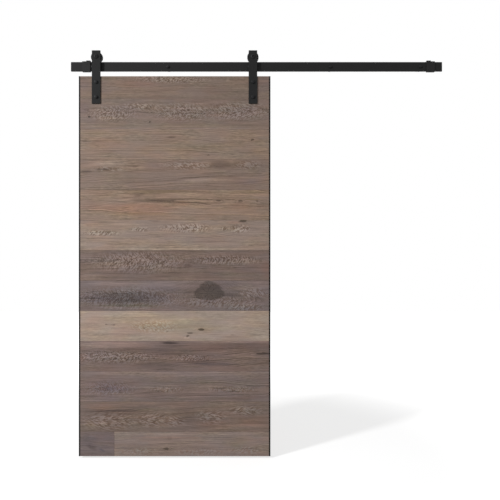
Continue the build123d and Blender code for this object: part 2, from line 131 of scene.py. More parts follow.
class Graph:
    """Writes shader nodes into one node tree and links them as it goes."""

    def __init__(self, tree: bpy.types.NodeTree) -> None:
        """Keeps the tree that the nodes go into."""
        self.tree = tree

    def node(self, kind: str, **settings: object) -> bpy.types.Node:
        """Adds one node.

        Args:
            kind: the node's type name.
            settings: properties to set on it.

        Returns:
            The new node.
        """
        made = self.tree.nodes.new(kind)
        for name, setting in settings.items():
            setattr(made, name, setting)
        return made

    def feed(self, socket: Socket, value: Optional[Value]) -> None:
        """Links a socket or sets its value.

        Args:
            socket: the input to feed.
            value: another node's output, a number, a vector or a colour; None leaves the input alone.
        """
        if isinstance(value, bpy.types.NodeSocket):
            self.tree.links.new(value, socket)
        elif isinstance(value, tuple):
            socket.default_value = value[: len(socket.default_value)]
        elif value is not None:
            socket.default_value = value

    def math(self, operation: str, a: Value, b: Optional[Value] = None) -> Socket:
        """Adds a Math node.

        Args:
            operation: its operation.
            a: first number.
            b: second number.

        Returns:
            The result.
        """
        made = self.node("ShaderNodeMath", operation=operation)
        self.feed(made.inputs[0], a)
        self.feed(made.inputs[1], b)
        return made.outputs[0]

    def total(self, *values: Value) -> Socket:
        """Adds up two or more numbers."""
        return reduce(partial(self.math, "ADD"), values)

    def times(self, *values: Value) -> Socket:
        """Multiplies two or more numbers."""
        return reduce(partial(self.math, "MULTIPLY"), values)

    def most(self, *values: Value) -> Socket:
        """Takes the greatest of two or more numbers."""
        return reduce(partial(self.math, "MAXIMUM"), values)

    def less(self, a: Value, b: Value) -> Socket:
        """Takes the second number from the first."""
        return self.math("SUBTRACT", a, b)

    def inverse(self, value: Value) -> Socket:
        """Takes a number from 1."""
        return self.math("SUBTRACT", 1.0, value)

    def swing(self, value: Value, amount: Value) -> Socket:
        """Turns a pattern from 0 to 1 into one about zero.

        Args:
            value: the pattern.
            amount: how far the result swings, from lowest to highest.

        Returns:
            (value - 0.5) times amount.
        """
        return self.times(self.less(value, 0.5), amount)

    def step(self, value: Value, low: float, high: float) -> Socket:
        """Adds a smooth step.

        Args:
            value: the number that is looked at.
            low: where the step starts.
            high: where it ends; it may be lower than low, for a step down.

        Returns:
            0 before low, 1 after high and a smooth rise between.
        """
        made = self.node("ShaderNodeMapRange", interpolation_type="SMOOTHSTEP")
        self.feed(made.inputs["Value"], value)
        rising = high > low
        made.inputs["From Min"].default_value = min(low, high)
        made.inputs["From Max"].default_value = max(low, high)
        made.inputs["To Min"].default_value = 0.0 if rising else 1.0
        made.inputs["To Max"].default_value = 1.0 if rising else 0.0
        return made.outputs["Result"]

    def vector(self, operation: str, a: Value, b: Optional[Value] = None) -> Socket:
        """Adds a Vector Math node.

        Args:
            operation: its operation.
            a: first vector.
            b: second vector.

        Returns:
            The resulting vector, or the number for LENGTH and DOT_PRODUCT.
        """
        made = self.node("ShaderNodeVectorMath", operation=operation)
        self.feed(made.inputs[0], a)
        self.feed(made.inputs[1], b)
        return made.outputs["Value" if operation in ("LENGTH", "DOT_PRODUCT") else "Vector"]

    def scale(self, vector: Value, factor: Value) -> Socket:
        """Multiplies a vector or a colour by a number.

        Args:
            vector: the vector or colour.
            factor: the number.

        Returns:
            The larger or smaller vector.
        """
        made = self.node("ShaderNodeVectorMath", operation="SCALE")
        self.feed(made.inputs[0], vector)
        self.feed(made.inputs["Scale"], factor)
        return made.outputs["Vector"]

    def split(self, vector: Value) -> tuple[Socket, Socket, Socket]:
        """Takes a vector apart.

        Args:
            vector: the vector.

        Returns:
            Its x, y and z.
        """
        made = self.node("ShaderNodeSeparateXYZ")
        self.feed(made.inputs[0], vector)
        return made.outputs[0], made.outputs[1], made.outputs[2]

    def join(self, x: Value, y: Value, z: Value) -> Socket:
        """Puts a vector together.

        Args:
            x: its x.
            y: its y.
            z: its z.

        Returns:
            The vector.
        """
        made = self.node("ShaderNodeCombineXYZ")
        for socket, value in zip(made.inputs, (x, y, z)):
            self.feed(socket, value)
        return made.outputs[0]

    def noise(
        self,
        spot: Value,
        lengths: Sequence[float],
        detail: float = 2.0,
        rough: float = 0.5,
        colour: bool = False,
    ) -> Socket:
        """Adds noise whose patches have given lengths.

        Args:
            spot: where the pattern is read.
            lengths: size of a patch along x, y and z, in the spot's unit.
            detail: octaves of finer noise.
            rough: strength of the finer noise.
            colour: whether three separate patterns are wanted.

        Returns:
            The noise, from about 0.2 to 0.8.
        """
        drawn = self.vector("MULTIPLY", spot, tuple(1 / length for length in lengths))
        made = self.node("ShaderNodeTexNoise")
        self.feed(made.inputs["Vector"], drawn)
        made.inputs["Scale"].default_value = 1.0
        made.inputs["Detail"].default_value = detail
        made.inputs["Roughness"].default_value = rough
        return made.outputs[1 if colour else 0]

    def mix(self, factor: Value, a: Value, b: Value, blend: str = "MIX") -> Socket:
        """Mixes two colours.

        Args:
            factor: share of the second colour.
            a: first colour.
            b: second colour.
            blend: blend mode.

        Returns:
            The mixed colour.
        """
        # Inputs 6 and 7 and output 2 are the node's sockets for colours.
        made = self.node("ShaderNodeMix", data_type="RGBA", blend_type=blend, clamp_factor=True)
        self.feed(made.inputs[0], factor)
        self.feed(made.inputs[6], a)
        self.feed(made.inputs[7], b)
        return made.outputs[2]

    def stain(self, factor: Value, colour: Value, tint: Value) -> Socket:
        """Multiplies a colour by a tint, as far as the factor says."""
        return self.mix(factor, colour, tint, "MULTIPLY")

    def place(self, corner: Point = ORIGIN, down: bool = False) -> Socket:
        """Reads the object's own coordinates.

        Args:
            corner: the point in metres that becomes zero.
            down: whether z is counted downwards.

        Returns:
            The place on the piece in mm.
        """
        coordinates = self.node("ShaderNodeTexCoord")
        mapping = self.node("ShaderNodeMapping", vector_type="POINT")
        signs = (1, 1, -1 if down else 1)
        mapping.inputs["Location"].default_value = [-c * MM * s for c, s in zip(corner, signs)]
        mapping.inputs["Scale"].default_value = [MM * s for s in signs]
        self.feed(mapping.inputs["Vector"], coordinates.outputs["Object"])
        return mapping.outputs["Vector"]

    def facing(self) -> tuple[Socket, Socket, Socket]:
        """Reads the x, y and z of the direction that the surface looks in."""
        return self.split(self.node("ShaderNodeNewGeometry").outputs["Normal"])

    def rays(self, *kinds: str) -> Socket:
        """Tells some kinds of light ray from the others.

        Args:
            kinds: names of the Light Path node's outputs.

        Returns:
            1 for these rays and 0 for the others.
        """
        path = self.node("ShaderNodeLightPath")
        return self.most(*(path.outputs[kind] for kind in kinds))

    def bump(self, height: Value, distance: float, strength: float) -> Socket:
        """Adds a Bump node.

        Args:
            height: the relief, from 0 to 1.
            distance: how deep a relief of 1 is, in metres.
            strength: how much of it shows.

        Returns:
            The bent normal.
        """
        made = self.node("ShaderNodeBump")
        made.inputs["Strength"].default_value = strength
        made.inputs["Distance"].default_value = distance
        self.feed(made.inputs["Height"], height)
        return made.outputs["Normal"]


class Effect:
    """A shader node group with named inputs and outputs, built once and placed in many materials."""

    title: ClassVar[str] = ""
    inputs: ClassVar[dict[str, Value]] = {}
    outputs: ClassVar[Sequence[str]] = ()

    def __init__(self) -> None:
        """Builds the group's sockets and nodes."""
        self.tree = bpy.data.node_groups.new(self.title, "ShaderNodeTree")
        for name, default in self.inputs.items():
            kind = "NodeSocketFloat" if isinstance(default, float) else "NodeSocketVector"
            socket = self.tree.interface.new_socket(name=name, in_out="INPUT", socket_type=kind)
            socket.default_value = default
        for name in self.outputs:
            self.tree.interface.new_socket(name=name, in_out="OUTPUT", socket_type="NodeSocketFloat")
        graph = Graph(self.tree)
        entry = graph.node("NodeGroupInput")
        leave = graph.node("NodeGroupOutput")
        given = {socket.name: socket for socket in entry.outputs if socket.name}
        for name, value in self.write(graph, given).items():
            graph.feed(leave.inputs[name], value)

    def write(self, graph: Graph, given: Sockets) -> Sockets:
        """Writes the group's nodes.

        Args:
            graph: the group's own graph.
            given: its inputs by name.

        Returns:
            Its outputs by name.
        """
        raise NotImplementedError

    def put(self, graph: Graph, values: dict[str, Value]) -> Sockets:
        """Places the group in a material.

        Args:
            graph: the material's graph.
            values: what goes into its inputs, by name.

        Returns:
            Its outputs by name.
        """
        made = graph.node("ShaderNodeGroup", node_tree=self.tree)
        for name, value in values.items():
            graph.feed(made.inputs[name], value)
        return {socket.name: socket for socket in made.outputs}


class RaggedPlace(Effect):
    """Frays a place on a board, so that what is drawn there has an uneven outline along the grain.

    Its values are the frayed distances in mm along the board and down from its upper edge.
    """

    title = "Ragged place"
    inputs = {"Position": ORIGIN, "Seed": 0.0}
    outputs = ("Along", "Down")

    def write(self, graph: Graph, given: Sockets) -> Sockets:
        """Writes the nodes; see Effect.write."""
        shift = graph.join(graph.times(given["Seed"], 97.0), 0.0, graph.times(given["Seed"], 31.0))
        spot = graph.vector("ADD", given["Position"], shift)
        drawn = graph.noise(spot, (60, 30, 16), 3.0, 0.6, colour=True)
        moved = graph.vector("MULTIPLY", graph.vector("SUBTRACT", drawn, (0.5, 0.5, 0.5)), (46.0, 0.0, 9.0))
        along, _, down = graph.split(graph.vector("ADD", given["Position"], moved))
        return {"Along": along, "Down": down}


EXTENT_INPUTS = {"Position": ORIGIN, "Along": 0.0, "Down": 0.0, "Half Length": 10.0, "Half Height": 5.0}


class GrainMark(Effect):
    """A long soft mark in the wood: a streak, a stained patch or a light band."""

    title = "Grain mark"
    inputs = {**EXTENT_INPUTS, "Slope": 0.0}
    outputs = ("Mask",)

    def write(self, graph: Graph, given: Sockets) -> Sockets:
        """Writes the nodes; see Effect.write."""
        x, _, z = graph.split(given["Position"])
        along = graph.less(x, given["Along"])
        centre = graph.total(given["Down"], graph.times(along, given["Slope"]))
        down = graph.less(z, centre)
        far = graph.join(
            graph.math("DIVIDE", along, given["Half Length"]),
            0.0,
            graph.math("DIVIDE", down, given["Half Height"]),
        )
        return {"Mask": graph.step(graph.vector("LENGTH", far), 1.35, 0.35)}


class KnotGrowth(Effect):
    """A knot: its core, the stained wood about it, and how far the rings swerve round it."""

    title = "Knot growth"
    inputs = {**EXTENT_INPUTS, "Peak": 0.0}
    outputs = ("Core", "Halo", "Swerve", "Cracks")

    def write(self, graph: Graph, given: Sockets) -> Sockets:
        """Writes the nodes; see Effect.write."""
        x, _, z = graph.split(given["Position"])
        side = graph.math("DIVIDE", graph.less(x, given["Along"]), given["Half Length"])
        rise = graph.math("DIVIDE", graph.less(z, given["Down"]), given["Half Height"])
        above = graph.times(graph.most(graph.times(rise, -1.0), 0.0), given["Peak"])
        below = graph.times(graph.most(rise, 0.0), given["Peak"])
        side = graph.times(side, graph.total(1.0, above))
        rise = graph.total(rise, below)
        far = graph.vector("LENGTH", graph.join(side, 0.0, rise))
        fading = graph.math("EXPONENT", graph.times(far, far, -0.30))
        ray = graph.math("SINE", graph.times(graph.math("ARCTAN2", rise, side), 7.0))
        split = graph.times(graph.step(ray, 0.90, 0.99), graph.step(far, 0.85, 0.25))
        return {
            "Core": graph.step(far, 1.06, 0.84),
            "Halo": graph.step(far, 2.5, 0.8),
            "Swerve": graph.times(fading, given["Half Height"], -2.1),
            "Cracks": split,
        }


class GrowthRings(Effect):
    """Oak cut along the trunk: growth rings, pores, fibres, broad bands and clouds of stain.

    The rings lie about a heart that runs along the board behind its face. Where the face passes near the
    heart they open into flames, and away from it they run straight and close together. The flecks are the
    broken tips of the flames, which slant away from the heart on both sides of it. The two sides read their
    pattern some way apart, so that they differ.
    """

    sides_apart: ClassVar[float] = 37.0
    title = "Growth rings"
    inputs = {
        "Position": ORIGIN,
        "Seed": 0.0,
        "Heart": 80.0,
        "Tilt": 0.0,
        "Depth": 15.0,
        "Drift": 0.0,
        "Figure": 4.0,
        "Ring Width": 3.5,
        "Swerve": 0.0,
        "Slant": 0.5,
        "Stretch": 1.0,
    }
    outputs = (
        "Early",
        "Late",
        "Pores",
        "Fibre",
        "Streak",
        "Band",
        "Cloud",
        "Fleck",
        "Warmth",
        "Olive",
        "Relief",
    )

    def write(self, graph: Graph, given: Sockets) -> Sockets:
        """Writes the nodes; see Effect.write."""
        seed = given["Seed"]
        shift = graph.join(graph.times(seed, 371.0), graph.times(seed, 59.0), graph.times(seed, 173.0))
        spot = graph.vector("ADD", given["Position"], shift)
        x, y, z = graph.split(given["Position"])
        slow = graph.swing(graph.noise(spot, (460, 300, 170), 1.5), 60.0)
        lazy = graph.swing(graph.noise(spot, (130, 70, 40), 2.0), 16.0)
        coarse = graph.swing(graph.noise(spot, (48, 24, 15), 2.0), given["Figure"])
        sharp = graph.swing(graph.noise(spot, (15, 12, 7.5), 2.0, 0.6), given["Figure"])
        fine = graph.swing(graph.noise(spot, (12, 6, 1.8), 1.0), 1.2)
        line = graph.total(given["Heart"], graph.times(given["Tilt"], x))
        across = graph.total(graph.less(z, line), slow, lazy)
        deep = graph.total(given["Depth"], graph.times(given["Drift"], x), coarse, sharp, y)
        squares = graph.total(graph.times(across, across), graph.times(deep, deep))
        radius = graph.total(graph.math("SQRT", squares), fine, given["Swerve"])
        phase = graph.math("DIVIDE", radius, given["Ring Width"])
        number = graph.node("ShaderNodeTexWhiteNoise", noise_dimensions="1D")
        graph.feed(number.inputs["W"], graph.total(graph.math("FLOOR", phase), graph.times(seed, 7.0)))
        part = graph.math("FRACT", phase)
        opened = graph.most(graph.step(part, 0.55, 0.05), graph.step(part, 0.90, 1.0))
        dark, pale, _ = graph.split(number.outputs["Color"])
        early = graph.times(opened, graph.total(graph.times(graph.math("POWER", dark, 2.2), 0.95), 0.14))
        closed = graph.times(graph.step(part, 0.50, 0.66), graph.step(part, 0.96, 0.80))
        dashes = graph.step(graph.noise(spot, (9, 0.6, 0.36), 1.0), 0.53, 0.66)
        pores = graph.times(dashes, graph.total(graph.times(early, 0.8), 0.2))
        fibre = graph.noise(spot, (110, 4, 1.3), 3.0, 0.7)
        band = graph.noise(spot, (210, 30, 8.6), 2.5, 0.6)
        warmth, olive, _ = graph.split(graph.noise(spot, (190, 90, 52), 2.0, 0.55, colour=True))
        cut = graph.less(graph.times(fibre, 0.5), graph.times(early, 0.4))
        return {
            "Early": early,
            "Late": graph.times(closed, graph.math("POWER", pale, 2.5)),
            "Pores": pores,
            "Fibre": fibre,
            "Streak": graph.noise(spot, (30, 12, 4.8), 2.0, 0.6),
            "Band": band,
            "Cloud": graph.noise(spot, (170, 60, 46), 2.0, 0.5),
            "Fleck": self.flecks(graph, given, shift, x, across),
            "Warmth": graph.step(warmth, 0.36, 0.64),
            "Olive": graph.step(olive, 0.40, 0.66),
            "Relief": graph.total(graph.less(cut, graph.times(pores, 0.5)), 0.5),
        }

    def flecks(self, graph: Graph, given: Sockets, shift: Socket, along: Socket, across: Socket) -> Socket:
        """Draws the broken tips of the flames.

        Args:
            graph: the group's graph.
            given: its inputs by name.
            shift: the board's own shift of the pattern.
            along: how far along the board.
            across: how far below the heart.

        Returns:
            A mask of pale flecks between dark ones.
        """
        away = graph.math("ABSOLUTE", across)
        side = graph.times(graph.math("SIGN", across), self.sides_apart)
        cosine = graph.math("COSINE", given["Slant"])
        sine = graph.math("SINE", given["Slant"])
        length = graph.less(graph.times(along, cosine), graph.times(away, sine))
        length = graph.math("DIVIDE", length, given["Stretch"])
        width = graph.total(graph.times(away, cosine), graph.times(along, sine))
        spot = graph.vector("ADD", graph.join(length, side, width), shift)
        return graph.step(graph.noise(spot, (15, 12, 5.6), 2.0, 0.6), 0.43, 0.57)


class EdgeWear(Effect):
    """The edges of a piece, where its coat is rubbed thin in places as far in as the reach in metres."""

    reach: ClassVar[float] = 0.0009
    title = "Edge wear"
    inputs = {"Position": ORIGIN}
    outputs = ("Mask",)

    def write(self, graph: Graph, given: Sockets) -> Sockets:
        """Writes the nodes; see Effect.write."""
        rounded = graph.node("ShaderNodeBevel", samples=4)
        rounded.inputs["Radius"].default_value = self.reach
        surface = graph.node("ShaderNodeNewGeometry")
        facing = graph.vector("DOT_PRODUCT", rounded.outputs["Normal"], surface.outputs["Normal"])
        edge = graph.step(facing, 0.985, 0.86)
        patchy = graph.step(graph.noise(given["Position"], (14, 14, 14), 4.0, 0.65), 0.45, 0.68)
        return {"Mask": graph.times(edge, patchy)}


class SettledDust(Effect):
    """Fine dust on what faces up."""

    title = "Settled dust"
    inputs = {"Position": ORIGIN}
    outputs = ("Mask",)

    def write(self, graph: Graph, given: Sockets) -> Sockets:
        """Writes the nodes; see Effect.write."""
        _, _, up = graph.facing()
        cloudy = graph.noise(given["Position"], (30, 12, 30), 4.0, 0.6)
        return {"Mask": graph.times(graph.step(up, 0.35, 0.95), graph.step(cloudy, 0.35, 0.75))}


class CoatTexture(Effect):
    """The skin of a sprayed coat: an even fine grain, slow changes of sheen and a few rubbed patches."""

    title = "Coat texture"
    inputs = {"Position": ORIGIN, "Grain": 1.0}
    outputs = ("Grain", "Cloud", "Rubbed")

    def write(self, graph: Graph, given: Sockets) -> Sockets:
        """Writes the nodes; see Effect.write."""
        finer = graph.scale(given["Position"], graph.math("DIVIDE", 1.0, given["Grain"]))
        return {
            "Grain": graph.noise(finer, (0.5, 0.5, 0.5), 2.0, 0.6),
            "Cloud": graph.noise(given["Position"], (70, 40, 40), 3.0, 0.55),
            "Rubbed": graph.step(graph.noise(given["Position"], (120, 9, 14), 5.0, 0.7), 0.60, 0.72),
        }


class MetalTexture(Effect):
    """Bare or plated steel: fine marks from turning or rolling, and slow changes of tone."""

    title = "Metal texture"
    inputs = {"Position": ORIGIN}
    outputs = ("Lines", "Cloud", "Spots")

    def write(self, graph: Graph, given: Sockets) -> Sockets:
        """Writes the nodes; see Effect.write."""
        return {
            "Lines": graph.noise(given["Position"], (3.0, 0.16, 3.0), 3.0, 0.7),
            "Cloud": graph.noise(given["Position"], (7, 5, 7), 3.0, 0.55),
            "Spots": graph.step(graph.noise(given["Position"], (0.9, 0.9, 0.9), 3.0, 0.6), 0.60, 0.72),
        }


class MouldedTexture(Effect):
    """Moulded nylon or rubber: a matt grain and pale scuffs."""

    title = "Moulded texture"
    inputs = {"Position": ORIGIN}
    outputs = ("Grain", "Cloud", "Scuffs")

    def write(self, graph: Graph, given: Sockets) -> Sockets:
        """Writes the nodes; see Effect.write."""
        return {
            "Grain": graph.noise(given["Position"], (0.35, 0.35, 0.35), 2.0, 0.6),
            "Cloud": graph.noise(given["Position"], (11, 11, 11), 3.0, 0.55),
            "Scuffs": graph.step(graph.noise(given["Position"], (2.2, 5.0, 1.4), 4.0, 0.7), 0.58, 0.72),
        }


class Effects:
    """Every shared effect, each built once."""

    def __init__(self) -> None:
        """Builds the node groups."""
        self.ragged = RaggedPlace()
        self.mark = GrainMark()
        self.knot = KnotGrowth()
        self.rings = GrowthRings()
        self.wear = EdgeWear()
        self.dust = SettledDust()
        self.coat = CoatTexture()
        self.metal = MetalTexture()
        self.moulded = MouldedTexture()

    def dusty(self, graph: Graph, spot: Socket, share: float) -> Socket:
        """Places the settled dust in a material and gives its mask times a share."""
        return graph.times(self.dust.put(graph, {"Position": spot})["Mask"], share)


# Finishes


@dataclass(frozen=True)
class Finish:
    """A finish: its name and how it is written into a material."""

    name: str

    def make(self, effects: Effects) -> bpy.types.Material:
        """Makes the material.

        Args:
            effects: the shared node groups.

        Returns:
            The finished material.
        """
        material = bpy.data.materials.new(self.name)
        material.use_nodes = True
        material.node_tree.nodes.clear()
        graph = Graph(material.node_tree)
        shader = graph.node("ShaderNodeBsdfPrincipled")
        output = graph.node("ShaderNodeOutputMaterial")
        graph.feed(output.inputs["Surface"], shader.outputs["BSDF"])
        self.write(graph, shader, effects)
        return material

    def write(self, graph: Graph, shader: bpy.types.Node, effects: Effects) -> None:
        """Writes the nodes that feed the shader.

        Args:
            graph: the material's graph.
            shader: its Principled BSDF.
            effects: the shared node groups.
        """
        raise NotImplementedError


@dataclass(frozen=True)
class Extent:
    """Where something lies along a board and below its upper edge, and how far it reaches, in mm."""

    along: float
    down: float
    half_length: float
    half_height: float

    def values(self, spot: Socket) -> dict[str, Value]:
        """Gives what an effect that is drawn on a board asks for.

        Args:
            spot: the frayed place on the board.

        Returns:
            Values for its inputs, by name.
        """
        return {
            "Position": spot,
            "Along": self.along,
            "Down": self.down,
            "Half Length": self.half_length,
            "Half Height": self.half_height,
        }


@dataclass(frozen=True)
class Mark(Extent):
    """A streak, patch or band on a board, with its tint, how strong it is and how steeply it falls."""

    tint: Tint
    strength: float
    slope: float = 0.0


@dataclass(frozen=True)
class Knot(Extent):
    """A knot on a board, how dark it is, and how far it narrows to a peak over a flat base."""

    strength: float
    peak: float = 0.0


@dataclass(frozen=True)
class Flame(Extent):
    """A stretch of lively open figure on a board. It fades out a little beyond the reach that is given."""

    longer: ClassVar[float] = 1.1
    taller: ClassVar[float] = 1.45

    def values(self, spot: Socket) -> dict[str, Value]:
        """Widens the extent's own values; see Extent.values."""
        reach = {"Half Length": self.half_length * self.longer, "Half Height": self.half_height * self.taller}
        return {**super().values(spot), **reach}


@dataclass(frozen=True)
class Oak(Finish):
    """Brushed and fumed oak under matt oil, as one board shows it.

    The heart is where the growth rings are cut nearest the middle of the tree: its place in mm below the
    board's upper edge, its slope, its depth behind the face and how that depth drifts along the board. The
    ring is the width of a growth ring in mm, contrast how dark its open wood is, and figure how far it
    wavers where the board is lively. The flecks have their slant in degrees, their strength as sparkle and
    their stretch along the board. The corner is the upper left front corner of the board's row in metres.
    The row's start and end, and the full and faded widths of the shadow painted along its ends, are in mm,
    and the relief of the brushed grain is in metres.
    """

    tone: Paint
    seed: float
    heart: float
    depth: float
    ring: float
    contrast: float
    tilt: float = 0.0
    drift: float = 0.0
    figure: float = 12.0
    slant: float = 25.0
    streaks: float = 1.0
    sparkle: float = 0.72
    stretch: float = 1.0
    marks: tuple[Mark, ...] = ()
    knots: tuple[Knot, ...] = ()
    flames: tuple[Flame, ...] = ()
    corner: Point = ORIGIN
    row_start: ClassVar[float] = 6.35
    row_end: ClassVar[float] = 1022.35
    shadow_full_width: ClassVar[float] = 1.6
    shadow_faded_width: ClassVar[float] = 2.9
    relief: ClassVar[float] = 0.00035

    def write(self, graph: Graph, shader: bpy.types.Node, effects: Effects) -> None:
        """Writes the nodes; see Finish.write."""
        spot = graph.place(corner=self.corner, down=True)
        ragged = effects.ragged.put(graph, {"Position": spot, "Seed": self.seed})
        frayed = graph.join(ragged["Along"], 0.0, ragged["Down"])
        lively = self.flame_mask(graph, effects, frayed)
        swerve, core, halo, cracks = self.grow_knots(graph, effects, frayed)
        rings = effects.rings.put(
            graph,
            {
                "Position": spot,
                "Seed": self.seed,
                "Heart": self.heart,
                "Tilt": self.tilt,
                "Depth": self.depth,
                "Drift": self.drift,
                "Figure": graph.total(graph.times(lively, self.figure), 2.5),
                "Ring Width": self.ring,
                "Swerve": swerve,
                "Slant": math.radians(self.slant),
                "Stretch": self.stretch,
            },
        )
        colour = self.stained(graph, effects, frayed)
        cool = graph.stain(1.0, colour, Tint.COOL.value)
        warm = graph.stain(1.0, colour, Tint.WARM.value)
        colour = graph.mix(rings["Warmth"], cool, warm)
        colour = graph.stain(graph.times(rings["Olive"], 0.8), colour, Tint.GREENISH.value)
        ripple = graph.mix(rings["Fleck"], Tint.DARK_FLECK.value, Tint.PALE_FLECK.value)
        colour = graph.stain(lively, colour, ripple)
        colour = graph.scale(colour, self.shading(graph, rings, lively))
        colour = graph.stain(graph.times(halo, 0.30), colour, Tint.HALO.value)
        colour = graph.stain(core, colour, Tint.CORE.value)
        colour = graph.stain(cracks, colour, Tint.CRACK.value)
        # Painted shadow: the board ends are darkened along the edge strips.
        colour = graph.stain(self.painted_strip_shadow(graph, spot), colour, Tint.SOAKED.value)
        graph.feed(shader.inputs["Base Color"], colour)
        gloss = graph.total(0.60, graph.times(rings["Early"], 0.16), graph.swing(rings["Cloud"], 0.14))
        graph.feed(shader.inputs["Roughness"], graph.less(gloss, graph.times(core, 0.12)))
        shader.inputs["Specular IOR Level"].default_value = 0.30
        height = graph.less(rings["Relief"], graph.times(cracks, 0.6))
        graph.feed(shader.inputs["Normal"], graph.bump(height, self.relief, 0.55))

    def shading(self, graph: Graph, rings: Sockets, lively: Value) -> Socket:
        """Gathers how light the wood is in its clouds, bands, streaks, fibres, pores, rings and flecks.

        Args:
            graph: the material's graph.
            rings: the growth rings' patterns.
            lively: where the figure is lively.

        Returns:
            What the board's colour is multiplied by.
        """
        calm = graph.total(graph.times(rings["Olive"], self.streaks * 0.9), self.streaks * 0.30)
        plain = graph.total(graph.times(rings["Warmth"], self.streaks * 0.7), self.streaks * 0.35)
        shade = graph.total(
            1.07,
            graph.swing(rings["Cloud"], 0.34),
            graph.swing(rings["Band"], plain),
            graph.swing(rings["Streak"], calm),
            graph.swing(rings["Fibre"], 0.34),
        )
        softened = graph.total(graph.times(lively, self.contrast, -0.30), self.contrast)
        shade = graph.times(shade, graph.inverse(graph.times(rings["Early"], softened)))
        shade = graph.times(shade, graph.inverse(graph.times(rings["Pores"], 0.42)))
        flecks = graph.times(lively, graph.total(graph.swing(rings["Fleck"], self.sparkle), 0.04))
        late = graph.times(rings["Late"], self.contrast * 0.9)
        return graph.times(shade, graph.total(1.0, flecks, late))

    def painted_strip_shadow(self, graph: Graph, spot: Socket) -> Socket:
        """Paints a shadow on the board ends along the edge strips: a dark line where shade falls in the
        joint.

        Args:
            graph: the material's graph.
            spot: the place on the row of boards in mm.

        Returns:
            A mask of the painted shadow.
        """
        x, _, _ = graph.split(spot)
        first = graph.step(x, self.row_start + self.shadow_faded_width, self.row_start + self.shadow_full_width)
        last = graph.step(x, self.row_end - self.shadow_faded_width, self.row_end - self.shadow_full_width)
        return graph.most(first, last)

    def stained(self, graph: Graph, effects: Effects, spot: Socket) -> Value:
        """Lays the board's marks over its tone.

        Args:
            graph: the material's graph.
            effects: the shared node groups.
            spot: the frayed place on the board.

        Returns:
            The stained colour.
        """
        colour: Value = self.tone.linear()
        for mark in self.marks:
            mask = effects.mark.put(graph, {**mark.values(spot), "Slope": mark.slope})["Mask"]
            colour = graph.stain(graph.times(mask, mark.strength), colour, mark.tint.value)
        return colour

    def flame_mask(self, graph: Graph, effects: Effects, spot: Socket) -> Value:
        """Shows where the board's figure is lively.

        Args:
            graph: the material's graph.
            effects: the shared node groups.
            spot: the frayed place on the board.

        Returns:
            A mask, or 0 on a quiet board.
        """
        result: Value = 0.0
        for flame in self.flames:
            result = graph.most(result, effects.mark.put(graph, flame.values(spot))["Mask"])
        return result

    def grow_knots(self, graph: Graph, effects: Effects, spot: Socket) -> tuple[Value, Value, Value, Value]:
        """Grows the board's knots.

        Args:
            graph: the material's graph.
            effects: the shared node groups.
            spot: the frayed place on the board.

        Returns:
            How far the rings swerve, and masks of the cores, their halos and their cracks.
        """
        swerve: Value = 0.0
        core: Value = 0.0
        halo: Value = 0.0
        cracks: Value = 0.0
        for knot in self.knots:
            grown = effects.knot.put(graph, {**knot.values(spot), "Peak": knot.peak})
            swerve = graph.total(swerve, grown["Swerve"])
            core = graph.most(core, graph.times(grown["Core"], knot.strength))
            halo = graph.most(halo, graph.times(grown["Halo"], knot.strength))
            cracks = graph.most(cracks, grown["Cracks"])
        return swerve, core, halo, cracks


@dataclass(frozen=True)
class RolledPath:
    """The line that wheels roll along the rail's upper edge, in mm.

    It fades over some length at its ends, and its sides waver from within to beyond its half width.
    """

    first: float
    last: float
    middle: float
    half: float
    fade: float = 40.0
    within: float = 0.9
    beyond: float = 0.6


